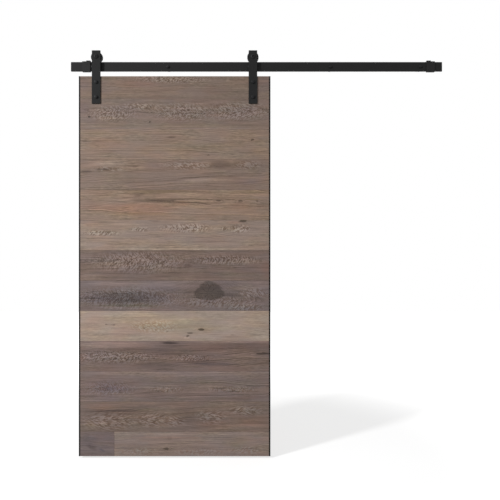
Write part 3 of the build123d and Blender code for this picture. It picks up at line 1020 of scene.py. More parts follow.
@dataclass(frozen=True)
class SprayedCoat(Finish):
    """Matt black powder coat or paint on steel, rubbed a little at the edges. Its relief is in metres."""

    tone: Paint
    roughness: float = 0.55
    grain: float = 1.0
    specular: float = 0.30
    wear: float = 0.25
    path: Optional[RolledPath] = None
    dust: ClassVar[float] = 0.10
    relief: ClassVar[float] = 0.00006
    rubbed: ClassVar[tuple[float, ...]] = (1.5, 1.5, 1.5, 1.0)

    def write(self, graph: Graph, shader: bpy.types.Node, effects: Effects) -> None:
        """Writes the nodes; see Finish.write."""
        spot = graph.place()
        skin = effects.coat.put(graph, {"Position": spot, "Grain": self.grain})
        worn = graph.times(effects.wear.put(graph, {"Position": spot})["Mask"], self.wear)
        dusty = effects.dusty(graph, spot, self.dust)
        shade = graph.total(1.0, graph.swing(skin["Cloud"], 0.35), graph.swing(skin["Grain"], 0.30))
        colour = graph.scale(self.tone.linear(), shade)
        colour = graph.stain(graph.times(skin["Rubbed"], 0.35), colour, self.rubbed)
        colour = graph.mix(worn, colour, BARE_EDGE.linear())
        colour = graph.mix(dusty, colour, DUST.linear())
        metallic: Value = graph.times(worn, 0.5)
        if self.path:
            rolled = self.rolled_bare(graph, spot, self.path)
            colour = graph.mix(rolled, colour, ROLLED_BARE.linear())
            metallic = graph.most(metallic, graph.times(rolled, 0.9))
        graph.feed(shader.inputs["Base Color"], colour)
        graph.feed(shader.inputs["Metallic"], metallic)
        gloss = graph.total(
            self.roughness,
            graph.swing(skin["Cloud"], 0.12),
            graph.times(skin["Rubbed"], -0.08),
            graph.times(dusty, 1.5),
        )
        graph.feed(shader.inputs["Roughness"], gloss)
        shader.inputs["Specular IOR Level"].default_value = self.specular
        graph.feed(shader.inputs["Normal"], graph.bump(skin["Grain"], self.relief, 0.6))

    def rolled_bare(self, graph: Graph, spot: Socket, path: RolledPath) -> Socket:
        """Shows where wheels have rolled the coat off the upper edge of the rail.

        Args:
            graph: the material's graph.
            spot: the place on the rail in mm.
            path: the line that the wheels roll along.

        Returns:
            A mask.
        """
        x, y, _ = graph.split(spot)
        _, _, up = graph.facing()
        start = graph.step(x, path.first, path.first + path.fade)
        end = graph.step(x, path.last, path.last - path.fade)
        upper = graph.step(up, 0.80, 0.97)
        off = graph.math("ABSOLUTE", graph.less(y, path.middle))
        uneven = graph.noise(spot, (60, 2.5, 5), 4.0, 0.7)
        wavering = graph.total(off, graph.swing(uneven, 3.0))
        line = graph.step(wavering, path.half + path.beyond, path.half - path.within)
        return graph.times(start, end, line, upper, graph.step(uneven, 0.30, 0.5), 0.85)


@dataclass(frozen=True)
class PlatedSteel(Finish):
    """Bare, ground or zinc plated steel, with the tone of its clouds. Its relief is in metres."""

    tone: Paint
    clouds: Paint
    roughness: float
    dust: ClassVar[float] = 0.15
    relief: ClassVar[float] = 0.00002

    def write(self, graph: Graph, shader: bpy.types.Node, effects: Effects) -> None:
        """Writes the nodes; see Finish.write."""
        spot = graph.place()
        marks = effects.metal.put(graph, {"Position": spot})
        dusty = effects.dusty(graph, spot, self.dust)
        cloudy = graph.step(marks["Cloud"], 0.35, 0.65)
        colour = graph.mix(cloudy, self.tone.linear(), self.clouds.linear())
        shade = graph.total(1.0, graph.swing(marks["Lines"], 0.22), graph.times(marks["Spots"], -0.22))
        colour = graph.mix(dusty, graph.scale(colour, shade), DUST.linear())
        graph.feed(shader.inputs["Base Color"], colour)
        graph.feed(shader.inputs["Metallic"], graph.inverse(dusty))
        gloss = graph.total(
            self.roughness,
            graph.swing(marks["Cloud"], 0.16),
            graph.times(marks["Spots"], 0.12),
            graph.swing(marks["Lines"], 0.12),
        )
        graph.feed(shader.inputs["Roughness"], gloss)
        graph.feed(shader.inputs["Normal"], graph.bump(marks["Lines"], self.relief, 0.5))


@dataclass(frozen=True)
class Tread:
    """A wheel's running face: its centre and radius in metres, and how its polish fades in mm.

    The polish fades across the groove about its half width, towards the axle and out on the flanges.
    """

    centre: Point
    radius: float
    half: float = 4.7
    fade: float = 0.5
    inner: tuple[float, float] = (3.0, 1.0)
    outer: tuple[float, float] = (2.5, 1.0)


@dataclass(frozen=True)
class Moulded(Finish):
    """Moulded nylon or rubber, with a wheel's polished tread if it has one. Its relief is in metres."""

    tone: Paint
    roughness: float
    specular: float
    tread: Optional[Tread] = None
    dust: ClassVar[float] = 0.12
    relief: ClassVar[float] = 0.00005

    def write(self, graph: Graph, shader: bpy.types.Node, effects: Effects) -> None:
        """Writes the nodes; see Finish.write."""
        spot = graph.place(corner=self.tread.centre if self.tread else ORIGIN)
        skin = effects.moulded.put(graph, {"Position": spot})
        dusty = effects.dusty(graph, spot, self.dust)
        shade = graph.total(1.0, graph.swing(skin["Cloud"], 0.40), graph.swing(skin["Grain"], 0.25))
        colour = graph.scale(self.tone.linear(), shade)
        colour = graph.mix(graph.times(skin["Scuffs"], 0.10), colour, SCUFF.linear())
        rough = graph.times(skin["Scuffs"], 0.1)
        gloss = graph.total(self.roughness, graph.swing(skin["Cloud"], 0.15), rough)
        if self.tread:
            rolled = self.rolled_smooth(graph, spot, self.tread)
            colour = graph.mix(graph.times(rolled, 0.18), colour, POLISH.linear())
            gloss = graph.less(gloss, graph.times(rolled, 0.25))
        graph.feed(shader.inputs["Base Color"], graph.mix(dusty, colour, DUST.linear()))
        graph.feed(shader.inputs["Roughness"], gloss)
        shader.inputs["Specular IOR Level"].default_value = self.specular
        graph.feed(shader.inputs["Normal"], graph.bump(skin["Grain"], self.relief, 0.5))

    def rolled_smooth(self, graph: Graph, spot: Socket, tread: Tread) -> Socket:
        """Shows where the rail has polished the bottom of a wheel's groove.

        Args:
            graph: the material's graph.
            spot: the place from the wheel's centre in mm.
            tread: the wheel's running face.

        Returns:
            A mask.
        """
        x, y, z = graph.split(spot)
        out = graph.vector("LENGTH", graph.join(x, 0.0, z))
        radius = tread.radius * MM
        across = graph.step(graph.math("ABSOLUTE", y), tread.half + tread.fade, tread.half - tread.fade)
        inner = graph.step(out, *(radius - far for far in tread.inner))
        outer = graph.step(out, *(radius + far for far in tread.outer))
        return graph.times(across, inner, outer)


@dataclass(frozen=True)
class Plywood(Finish):
    """Sealed birch plywood: pale sanded faces, and plies that show at the edges.

    The corner is the panel's upper left front corner in metres, its thickness is in mm and its relief in
    metres.
    """

    corner: Point
    plies: int = 13
    thickness: float = 20.0
    relief: ClassVar[float] = 0.0002

    def write(self, graph: Graph, shader: bpy.types.Node, effects: Effects) -> None:
        """Writes the nodes; see Finish.write."""
        spot = graph.place(corner=self.corner, down=True)
        x, y, z = graph.split(spot)
        upright = graph.join(z, y, x)
        rings = effects.rings.put(
            graph,
            {
                "Position": upright,
                "Seed": 3.7,
                "Heart": 430.0,
                "Depth": 60.0,
                "Ring Width": 9.0,
                "Figure": 9.0,
                "Tilt": 0.02,
            },
        )
        shade = graph.total(
            1.02,
            graph.swing(rings["Cloud"], 0.22),
            graph.swing(rings["Band"], 0.18),
            graph.swing(rings["Fibre"], 0.16),
        )
        shade = graph.times(shade, graph.inverse(graph.times(rings["Early"], 0.10)))
        face = graph.scale(BIRCH_FACE.linear(), shade)
        ply = graph.math("DIVIDE", y, self.thickness / self.plies)
        part = graph.math("FRACT", ply)
        glue = graph.most(graph.step(part, 0.10, 0.02), graph.step(part, 0.90, 0.98))
        layer = graph.step(graph.math("PINGPONG", ply, 1.0), 0.42, 0.58)
        ends = graph.noise(spot, (1.1, 0.5, 1.1), 3.0, 0.65)
        edge = graph.mix(layer, BIRCH_LONG_GRAIN.linear(), BIRCH_END_GRAIN.linear())
        edge = graph.scale(edge, graph.total(1.0, graph.swing(ends, 0.5)))
        edge = graph.mix(graph.times(glue, 0.75), edge, GLUE.linear())
        _, forward, _ = graph.facing()
        flat = graph.step(graph.math("ABSOLUTE", forward), 0.4, 0.8)
        graph.feed(shader.inputs["Base Color"], graph.mix(flat, edge, face))
        graph.feed(shader.inputs["Roughness"], graph.total(0.55, graph.swing(rings["Fibre"], 0.2)))
        shader.inputs["Specular IOR Level"].default_value = 0.35
        sunk = graph.times(glue, graph.inverse(flat), -0.4)
        height = graph.total(graph.times(rings["Relief"], 0.5), sunk)
        graph.feed(shader.inputs["Normal"], graph.bump(height, self.relief, 0.4))


# The boards, from the top


BOARD_LOOKS: tuple[Oak, ...] = (
    Oak(
        "oak_board_01",
        Paint(115, 98, 88),
        seed=1.0,
        heart=10.0,
        depth=22.0,
        ring=5.6,
        contrast=0.40,
        slant=20.0,
        sparkle=1.0,
        marks=(
            Mark(301, 42, 161, 18.8, Tint.REDDISH, 0.50),
            Mark(983, 47, 64, 48.3, Tint.PURPLE, 0.50),
            Mark(28, 31, 32, 42.9, Tint.PURPLE, 0.40),
            Mark(801, 20, 10, 8.6, Tint.PALE, 0.60),
            Mark(140, 10, 64, 10.7, Tint.OLIVE, 0.30),
            Mark(382, 113, 268, 3.8, Tint.DARK, 0.30),
            Mark(838, 90, 134, 16.1, Tint.DARK, 0.20),
            Mark(382, 90, 322, 8.1, Tint.PALE, 0.18),
        ),
        flames=(
            Flame(500, 15, 182, 16),
        ),
    ),
    Oak(
        "oak_board_02",
        Paint(115, 99, 91),
        seed=2.0,
        heart=68.0,
        depth=26.0,
        ring=5.4,
        contrast=0.42,
        tilt=-0.004,
        figure=16.0,
        slant=35.0,
        sparkle=0.9,
        marks=(
            Mark(28, 48, 32, 32.2, Tint.PURPLE, 0.50),
            Mark(951, 53, 75, 26.8, Tint.PURPLE, 0.30),
            Mark(726, 32, 54, 7.5, Tint.DARK, 0.35),
            Mark(677, 122, 16, 3.2, Tint.DARK, 0.40),
            Mark(157, 72, 64, 5.9, Tint.PALE, 0.35),
            Mark(151, 100, 43, 4.8, Tint.PALE, 0.35),
            Mark(650, 48, 32, 5.4, Tint.PALE, 0.35),
            Mark(768, 59, 64, 26.8, Tint.OLIVE, 0.30),
            Mark(508, 152, 620, 9.0, Tint.PALE, 0.30),
            Mark(508, 145, 620, 16.0, Tint.OLIVE, 0.35),
            # Painted highlight along the lower edge, which lifts the shade that falls in the seam below.
            Mark(508, 160, 640, 5.0, Tint.PALE, 0.45),
        ),
        knots=(
            Knot(57, 96, 8, 5.4, 0.95),
            Knot(377, 123, 6, 3.8, 0.80),
        ),
        flames=(
            Flame(178, 78, 118, 30),
            Flame(560, 70, 150, 34),
            Flame(850, 68, 170, 34),
            Flame(330, 40, 90, 14),
        ),
    ),
    Oak(
        "oak_board_03",
        Paint(127, 109, 97),
        seed=3.0,
        heart=-75.0,
        depth=30.0,
        ring=8.6,
        contrast=0.34,
        tilt=0.01,
        figure=6.0,
        streaks=1.1,
        marks=(
            Mark(140, 74, 118, 32.2, Tint.REDDISH, 0.35),
            Mark(543, 111, 268, 16.1, Tint.YELLOW, 0.30),
            Mark(962, 100, 43, 42.9, Tint.YELLOW, 0.30),
            Mark(495, 42, 27, 5.4, Tint.DARK, 0.75),
            Mark(618, 14, 38, 5.4, Tint.DARK, 0.35, 0.20),
            Mark(33, 63, 21, 4.3, Tint.DARK, 0.60),
            Mark(768, 52, 16, 10.7, Tint.PALE, 0.30),
            Mark(301, 127, 107, 3.2, Tint.PALE, 0.35),
            Mark(221, 23, 161, 2.7, Tint.DARK, 0.30),
            Mark(731, 92, 134, 2.7, Tint.DARK, 0.30),
            Mark(178, 146, 107, 3.2, Tint.DARK, 0.30),
            Mark(650, 44, 130, 3.0, Tint.PALE, 0.30),
            Mark(172, 117, 40, 4.0, Tint.DARK, 0.30),
            Mark(345, 127, 45, 9.0, Tint.YELLOW, 0.40),
            Mark(90, 20, 90, 14.0, Tint.OLIVE, 0.35),
            Mark(620, 90, 260, 26.0, Tint.OLIVE, 0.30),
            # Painted highlights along the upper and lower edges, which lift the shade that falls in the
            # seams.
            Mark(508, 2, 640, 5.0, Tint.PALE, 0.35),
            Mark(508, 160, 640, 5.0, Tint.PALE, 0.22),
        ),
        knots=(
            Knot(929, 57, 9, 6.4, 0.75),
            Knot(699, 138, 6, 3.2, 0.80),
        ),
    ),
    Oak(
        "oak_board_04",
        Paint(122, 104, 93),
        seed=4.0,
        heart=150.0,
        depth=20.0,
        ring=8.0,
        contrast=0.40,
        tilt=-0.055,
        figure=10.0,
        streaks=1.1,
        marks=(
            Mark(114, 24, 97, 18.8, Tint.PALE, 0.50),
            Mark(130, 52, 43, 4.8, Tint.DARK, 0.55),
            Mark(301, 36, 21, 5.4, Tint.DARK, 0.65),
            Mark(38, 64, 32, 7.0, Tint.DARK, 0.70),
            Mark(409, 35, 64, 21.5, Tint.PURPLE, 0.30),
            Mark(758, 24, 60, 24, Tint.DARK, 0.50),
            Mark(382, 118, 268, 3.4, Tint.DARK, 0.60, -0.05),
            Mark(624, 96, 134, 3.8, Tint.DARK, 0.65, -0.08),
            Mark(731, 72, 86, 4.8, Tint.DARK, 0.50, -0.05),
            Mark(690, 108, 150, 9.0, Tint.PALE, 0.85, -0.03),
            Mark(903, 120, 86, 18.8, Tint.PURPLE, 0.50),
            Mark(892, 78, 97, 6.4, Tint.DARK, 0.30),
            Mark(215, 16, 150, 15.0, Tint.PALE, 0.35),
            Mark(287, 34, 52, 4.0, Tint.DARK, 0.60),
            Mark(155, 51, 80, 7.0, Tint.DARK, 0.35),
            Mark(880, 28, 110, 22.0, Tint.DARK, 0.30),
            Mark(230, 95, 120, 26.0, Tint.OLIVE, 0.25),
            Mark(825, 94, 45, 10.0, Tint.DARK, 0.35),
            Mark(985, 70, 30, 40.0, Tint.PURPLE, 0.40),
        ),
        flames=(
            Flame(581, 32, 129, 16),
            Flame(908, 29, 75, 16),
            Flame(155, 51, 80, 9),
        ),
    ),
    Oak(
        "oak_board_05",
        Paint(132, 112, 98),
        seed=5.0,
        heart=46.0,
        depth=24.0,
        ring=8.4,
        contrast=0.46,
        tilt=0.02,
        drift=-0.015,
        figure=10.0,
        streaks=1.2,
        marks=(
            Mark(264, 0, 75, 9.7, Tint.DARK, 0.40),
            Mark(264, 33, 32, 4.3, Tint.PALE, 0.50),
            Mark(312, 31, 16, 8.1, Tint.DARK, 0.40),
            Mark(420, 59, 64, 3.0, Tint.DARK, 0.50, 0.06),
            Mark(500, 71, 32, 3.2, Tint.DARK, 0.46),
            Mark(677, 72, 118, 2.7, Tint.DARK, 0.50),
            Mark(634, 9, 161, 4.3, Tint.DARK, 0.55, 0.04),
            Mark(300, 100, 235, 30.0, Tint.REDDISH, 0.75),
            Mark(328, 130, 188, 9.7, Tint.YELLOW, 0.45),
            Mark(811, 134, 150, 3.8, Tint.YELLOW, 0.45),
            Mark(87, 87, 54, 4.3, Tint.DARK, 0.40, -0.15),
            Mark(919, 65, 54, 5.4, Tint.PALE, 0.30),
            Mark(865, 87, 64, 21.5, Tint.REDDISH, 0.35),
            Mark(140, 23, 64, 13.4, Tint.DARK, 0.20),
            Mark(430, 9, 160, 13.0, Tint.OLIVE, 0.60),
            Mark(430, 10, 150, 10.0, Tint.DARK, 0.35),
            Mark(265, 22, 60, 3.0, Tint.DARK, 0.50, 0.05),
            Mark(265, 43, 60, 3.0, Tint.DARK, 0.50, -0.05),
            Mark(730, 128, 260, 3.6, Tint.PALE, 0.60, 0.02),
            Mark(400, 118, 150, 3.2, Tint.PALE, 0.60),
            Mark(50, 80, 50, 32.0, Tint.PURPLE, 0.40),
            Mark(880, 12, 150, 12.0, Tint.OLIVE, 0.40),
            Mark(560, 74, 50, 14.0, Tint.REDDISH, 0.50),
            Mark(380, 22, 150, 10.0, Tint.DARK, 0.22),
            Mark(215, 62, 60, 3.6, Tint.DARK, 0.45, 0.03),
            Mark(130, 88, 80, 3.4, Tint.PALE, 0.40, -0.05),
            Mark(573, 66, 215, 3.4, Tint.DARK, 0.50, 0.055),
            Mark(177, 18, 125, 3.4, Tint.PALE, 0.45, 0.09),
            Mark(204, 61, 100, 3.6, Tint.PALE, 0.45, -0.18),
            Mark(607, 27, 250, 5.0, Tint.PALE, 0.40, 0.05),
            Mark(940, 52, 60, 4.0, Tint.YELLOW, 0.60),
        ),
        knots=(
            Knot(747, 58, 14, 5.9, 0.52),
            Knot(865, 60, 11, 7.0, 0.45),
            Knot(962, 60, 8, 5.4, 0.42),
        ),
    ),
    Oak(
        "oak_board_06",
        Paint(136, 119, 108),
        seed=6.0,
        heart=50.0,
        depth=20.0,
        ring=6.0,
        contrast=0.34,
        tilt=-0.008,
        slant=50.0,
        sparkle=0.95,
        marks=(
            Mark(60, 21, 64, 16.1, Tint.REDDISH, 0.30),
            Mark(409, 5, 32, 3.2, Tint.DARK, 0.50),
            Mark(838, 13, 48, 10.7, Tint.REDDISH, 0.40),
            Mark(704, 114, 97, 3.2, Tint.DARK, 0.50),
            Mark(463, 96, 54, 26.8, Tint.PURPLE, 0.30),
            Mark(720, 83, 27, 2.7, Tint.DARK, 0.40),
            Mark(489, 155, 483, 5.5, Tint.PALE, 0.60),
            Mark(87, 129, 81, 16.1, Tint.PALE, 0.30),
            Mark(962, 48, 38, 3.2, Tint.DARK, 0.40),
            Mark(640, 110, 160, 20.0, Tint.PURPLE, 0.20),
            Mark(550, 48, 95, 22.0, Tint.DARK, 0.25),
            Mark(853, 36, 32, 14.0, Tint.DARK, 0.40),
        ),
        knots=(
            Knot(878, 5, 21, 6.4, 0.75),
        ),
        flames=(
            Flame(576, 43, 128, 17),
            Flame(120, 70, 88, 11),
            Flame(781, 48, 18, 9),
            Flame(325, 50, 48, 9),
            Flame(865, 46, 54, 16),
        ),
    ),
    Oak(
        "oak_board_07",
        Paint(110, 94, 87),
        seed=7.0,
        heart=58.0,
        depth=28.0,
        ring=5.6,
        contrast=0.44,
        tilt=-0.005,
        drift=0.008,
        figure=16.0,
        slant=60.0,
        sparkle=1.0,
        marks=(
            Mark(581, 84, 27, 10.7, Tint.DARK, 0.60),
            Mark(33, 36, 54, 21.5, Tint.PALE, 0.30),
            Mark(838, 127, 134, 10.7, Tint.OLIVE, 0.30),
            Mark(1005, 95, 27, 48.3, Tint.REDDISH, 0.35),
            Mark(275, 116, 107, 8.1, Tint.PURPLE, 0.25),
            Mark(436, 6, 322, 4.3, Tint.DARK, 0.30),
            Mark(110, 40, 75, 3.0, Tint.DARK, 0.45, 0.08),
            Mark(150, 57, 60, 3.0, Tint.DARK, 0.40, -0.06),
            Mark(60, 78, 60, 3.0, Tint.DARK, 0.35),
            Mark(60, 140, 70, 22.0, Tint.PALE, 0.35),
            Mark(600, 66, 55, 18.0, Tint.DARK, 0.38),
            Mark(780, 100, 300, 30.0, Tint.PURPLE, 0.25),
        ),
        flames=(
            Flame(328, 62, 235, 40),
            Flame(785, 52, 182, 19),
        ),
    ),
    Oak(
        "oak_board_08",
        Paint(110, 97, 94),
        seed=8.0,
        heart=92.0,
        depth=30.0,
        ring=5.8,
        contrast=0.46,
        tilt=0.01,
        drift=-0.008,
        figure=16.0,
        slant=50.0,
        sparkle=0.78,
        marks=(
            Mark(167, 16, 134, 13.4, Tint.PALE, 0.40),
            Mark(436, 40, 161, 21.5, Tint.PURPLE, 0.20),
            Mark(817, 78, 62, 10.7, Tint.DARK, 0.60),
            Mark(600, 62, 40, 8, Tint.DARK, 0.45, -0.12),
            Mark(210, 90, 250, 40, Tint.SLATE, 0.55),
            Mark(300, 92, 200, 34, Tint.DARK, 0.28),
            Mark(500, 26, 170, 12, Tint.PALE, 0.35, 0.03),
            Mark(905, 105, 110, 20, Tint.DARK, 0.25),
            Mark(946, 34, 86, 21.5, Tint.PALE, 0.30),
            Mark(382, 139, 107, 10.7, Tint.OLIVE, 0.30),
            Mark(382, 157, 134, 3.2, Tint.REDDISH, 0.40),
            Mark(250, 134, 200, 8.0, Tint.OLIVE, 0.70),
            Mark(250, 134, 200, 8.0, Tint.DARK, 0.40),
            Mark(910, 122, 95, 20.0, Tint.PALE, 0.50),
            Mark(720, 8, 330, 7.0, Tint.PALE, 0.35),
            Mark(240, 96, 230, 34.0, Tint.DARK, 0.30),
            Mark(500, 70, 130, 24.0, Tint.DARK, 0.18),
            Mark(300, 18, 260, 14.0, Tint.PALE, 0.35),
        ),
        knots=(
            Knot(700, 66, 88, 67, 0.66, 0.60),
            Knot(699, 119, 6, 3.8, 0.80),
        ),
        flames=(
            Flame(264, 94, 270, 42),
            Flame(700, 20, 34, 10),
            Flame(731, 115, 188, 21),
            Flame(940, 68, 75, 20),
            Flame(890, 143, 105, 15),
        ),
    ),
    Oak(
        "oak_board_09",
        Paint(153, 136, 125),
        seed=9.0,
        heart=150.0,
        depth=30.0,
        ring=6.0,
        contrast=0.16,
        figure=8.0,
        streaks=0.8,
        sparkle=0.44,
        marks=(
            Mark(382, 55, 242, 42.9, Tint.YELLOW, 0.40),
            Mark(87, 76, 64, 42.9, Tint.REDDISH, 0.30),
            Mark(328, 114, 64, 21.5, Tint.REDDISH, 0.25),
            Mark(167, 74, 32, 4.3, Tint.DARK, 0.30),
            Mark(720, 127, 38, 3.2, Tint.DARK, 0.35),
            Mark(951, 130, 32, 4.3, Tint.DARK, 0.35),
            Mark(516, 60, 118, 21.5, Tint.PALE, 0.30),
            Mark(865, 60, 97, 26.8, Tint.PALE, 0.15),
            Mark(240, 96, 60, 60.0, Tint.REDDISH, 0.25),
            Mark(540, 85, 240, 46.0, Tint.OLIVE, 0.45),
            Mark(250, 20, 200, 12.0, Tint.PALE, 0.25),
            Mark(180, 130, 130, 14.0, Tint.DARK, 0.20),
            Mark(860, 140, 90, 8.0, Tint.DARK, 0.15),
        ),
        knots=(
            Knot(661, 100, 17, 7.0, 0.85),
            Knot(602, 119, 19, 3.8, 0.75),
            Knot(583, 135, 8, 4.8, 0.70),
            Knot(409, 105, 5, 2.7, 0.60),
            Knot(355, 95, 5, 2.1, 0.50),
            Knot(148, 72, 6, 3.2, 0.50),
            Knot(187, 74, 7, 3.0, 0.45),
            Knot(472, 110, 6, 2.8, 0.40),
            Knot(828, 129, 8, 3.0, 0.40),
        ),
        flames=(
            Flame(400, 84, 120, 26),
        ),
    ),
    Oak(
        "oak_board_10",
        Paint(113, 96, 90),
        seed=10.0,
        heart=84.0,
        depth=22.0,
        ring=6.4,
        contrast=0.42,
        figure=14.0,
        slant=40.0,
        sparkle=0.95,
        marks=(
            Mark(489, 10, 48, 5.9, Tint.KNOT, 0.90),
            Mark(500, 24, 81, 10.7, Tint.DARK, 0.40),
            Mark(157, 18, 225, 24.2, Tint.PALE, 0.60, -0.04),
            Mark(500, 59, 140, 26.8, Tint.DARK, 0.30),
            Mark(801, 37, 215, 21.5, Tint.REDDISH, 0.30),
            Mark(715, 123, 129, 8.6, Tint.SLATE, 0.55),
            Mark(463, 152, 64, 5.4, Tint.DARK, 0.40),
            Mark(71, 123, 75, 10.7, Tint.PALE, 0.25),
            Mark(677, 48, 150, 3.2, Tint.DARK, 0.40, -0.06),
            Mark(715, 83, 129, 3.2, Tint.DARK, 0.35, 0.03),
            Mark(704, 67, 140, 10.7, Tint.PALE, 0.20),
            Mark(415, 128, 115, 26.0, Tint.DARK, 0.28),
            Mark(860, 20, 200, 14.0, Tint.DARK, 0.25),
            Mark(700, 140, 170, 12.0, Tint.PALE, 0.20),
            Mark(180, 20, 240, 24.0, Tint.PALE, 0.40),
            Mark(300, 48, 170, 9.0, Tint.DARK, 0.30),
            Mark(830, 4, 250, 7.0, Tint.PALE, 1.00),
            Mark(640, 108, 120, 20.0, Tint.DARK, 0.22),
        ),
        knots=(
            Knot(989, 67, 32, 6.4, 0.80),
        ),
        flames=(
            Flame(194, 85, 215, 24),
            Flame(597, 91, 107, 13),
        ),
    ),
    Oak(
        "oak_board_11",
        Paint(115, 100, 95),
        seed=11.0,
        heart=98.0,
        depth=22.0,
        ring=6.6,
        contrast=0.36,
        drift=0.02,
        slant=55.0,
        streaks=1.1,
        sparkle=0.55,
        marks=(
            Mark(540, 15, 620, 14.0, Tint.PALE, 0.42),
            Mark(130, 100, 150, 59.0, Tint.PURPLE, 0.55),
            Mark(135, 95, 43, 13.4, Tint.DARK, 0.35),
            Mark(425, 105, 32, 2.7, Tint.DARK, 0.50),
            Mark(505, 95, 16, 3.2, Tint.DARK, 0.50),
            Mark(763, 91, 38, 2.7, Tint.DARK, 0.50),
            Mark(763, 102, 32, 2.1, Tint.DARK, 0.40),
            Mark(838, 106, 32, 4.3, Tint.DARK, 0.50),
            Mark(919, 98, 32, 3.8, Tint.DARK, 0.50, -0.15),
            Mark(951, 79, 21, 2.7, Tint.DARK, 0.40),
            Mark(409, 52, 97, 8.1, Tint.OLIVE, 0.25),
            Mark(87, 159, 172, 5.4, Tint.PALE, 0.30),
            Mark(382, 84, 54, 6.4, Tint.PALE, 0.20),
            Mark(700, 60, 260, 12.0, Tint.OLIVE, 0.30),
            Mark(620, 128, 240, 3.0, Tint.DARK, 0.35),
            Mark(905, 140, 110, 10.0, Tint.REDDISH, 0.25),
            Mark(757, 94, 42, 3.2, Tint.DARK, 0.50),
            Mark(820, 107, 50, 3.8, Tint.DARK, 0.55),
            Mark(405, 105, 38, 3.4, Tint.DARK, 0.55),
            Mark(938, 107, 34, 3.8, Tint.DARK, 0.40),
            Mark(925, 84, 40, 3.2, Tint.DARK, 0.35),
            Mark(495, 98, 26, 3.4, Tint.DARK, 0.30),
            Mark(850, 5, 200, 6.0, Tint.PALE, 0.50),
            Mark(250, 5, 260, 6.0, Tint.PALE, 0.35),
            Mark(100, 150, 120, 12.0, Tint.PALE, 0.30),
            Mark(200, 75, 120, 40.0, Tint.PURPLE, 0.35),
            Mark(130, 95, 26, 8.0, Tint.REDDISH, 0.60),
            Mark(200, 70, 110, 30.0, Tint.DARK, 0.15),
        ),
        flames=(
            Flame(157, 92, 129, 27),
            Flame(830, 98, 130, 12),
            Flame(470, 98, 90, 12),
        ),
    ),
    Oak(
        "oak_board_12",
        Paint(113, 97, 89),
        seed=12.0,
        heart=106.0,
        depth=24.0,
        ring=6.4,
        contrast=0.44,
        tilt=-0.055,
        figure=14.0,
        slant=-20.0,
        stretch=2.2,
        sparkle=0.85,
        marks=(
            Mark(114, 29, 81, 21.5, Tint.REDDISH, 0.40),
            Mark(200, 50, 172, 8.6, Tint.DARK, 0.60, -0.02),
            Mark(361, 42, 64, 5.4, Tint.OLIVE, 0.40, -0.04),
            Mark(575, 72, 81, 48.3, Tint.DARK, 0.35),
            Mark(811, 120, 188, 26.8, Tint.REDDISH, 0.35),
            Mark(60, 120, 27, 21.5, Tint.YELLOW, 0.40),
            Mark(150, 34, 110, 9.0, Tint.YELLOW, 0.35),
            Mark(230, 78, 120, 3.0, Tint.DARK, 0.35, 0.04),
            Mark(930, 95, 80, 30.0, Tint.REDDISH, 0.25),
            Mark(200, 62, 190, 13.0, Tint.DARK, 0.28),
            Mark(490, 128, 110, 16.0, Tint.PALE, 0.28),
            Mark(820, 128, 190, 22.0, Tint.PALE, 0.22),
        ),
        flames=(
            Flame(167, 104, 150, 35),
            Flame(393, 99, 97, 27),
            Flame(516, 104, 54, 21),
            Flame(704, 83, 81, 27),
            Flame(897, 50, 91, 19),
        ),
    ),
    Oak(
        "oak_board_13",
        Paint(128, 113, 106),
        seed=13.0,
        heart=-40.0,
        depth=40.0,
        ring=8.0,
        contrast=0.26,
        sparkle=0.4,
        marks=(
            Mark(597, 12, 403, 5.4, Tint.PALE, 0.35),
            Mark(463, 31, 268, 4.3, Tint.REDDISH, 0.35),
            Mark(248, 87, 27, 2.7, Tint.DARK, 0.40),
            Mark(570, 108, 43, 2.7, Tint.DARK, 0.40),
            Mark(844, 87, 32, 32.2, Tint.OLIVE, 0.25),
            Mark(489, 33, 16, 10.7, Tint.DARK, 0.25),
            Mark(731, 60, 161, 2.7, Tint.DARK, 0.25),
            Mark(300, 45, 200, 10.0, Tint.PALE, 0.20),
            Mark(880, 40, 120, 12.0, Tint.REDDISH, 0.20),
            Mark(855, 55, 70, 34.0, Tint.OLIVE, 0.45),
        ),
        knots=(
            Knot(468, 92, 16, 7.5, 0.70),
        ),
        flames=(
            Flame(330, 106, 110, 14),
            Flame(640, 108, 130, 12),
            Flame(900, 100, 90, 16),
        ),
    ),
    Oak(
        "oak_board_13_short",
        Paint(108, 95, 93),
        seed=14.0,
        heart=60.0,
        depth=14.0,
        ring=6.0,
        contrast=0.34,
        marks=(
            Mark(71, 82, 27, 16.1, Tint.DARK, 0.50, 0.30),
            Mark(124, 98, 16, 8.1, Tint.SLATE, 0.60, 0.40),
            Mark(49, 44, 54, 26.8, Tint.SLATE, 0.30),
            Mark(114, 28, 32, 21.5, Tint.REDDISH, 0.25),
        ),
    ),
)


# Modelling


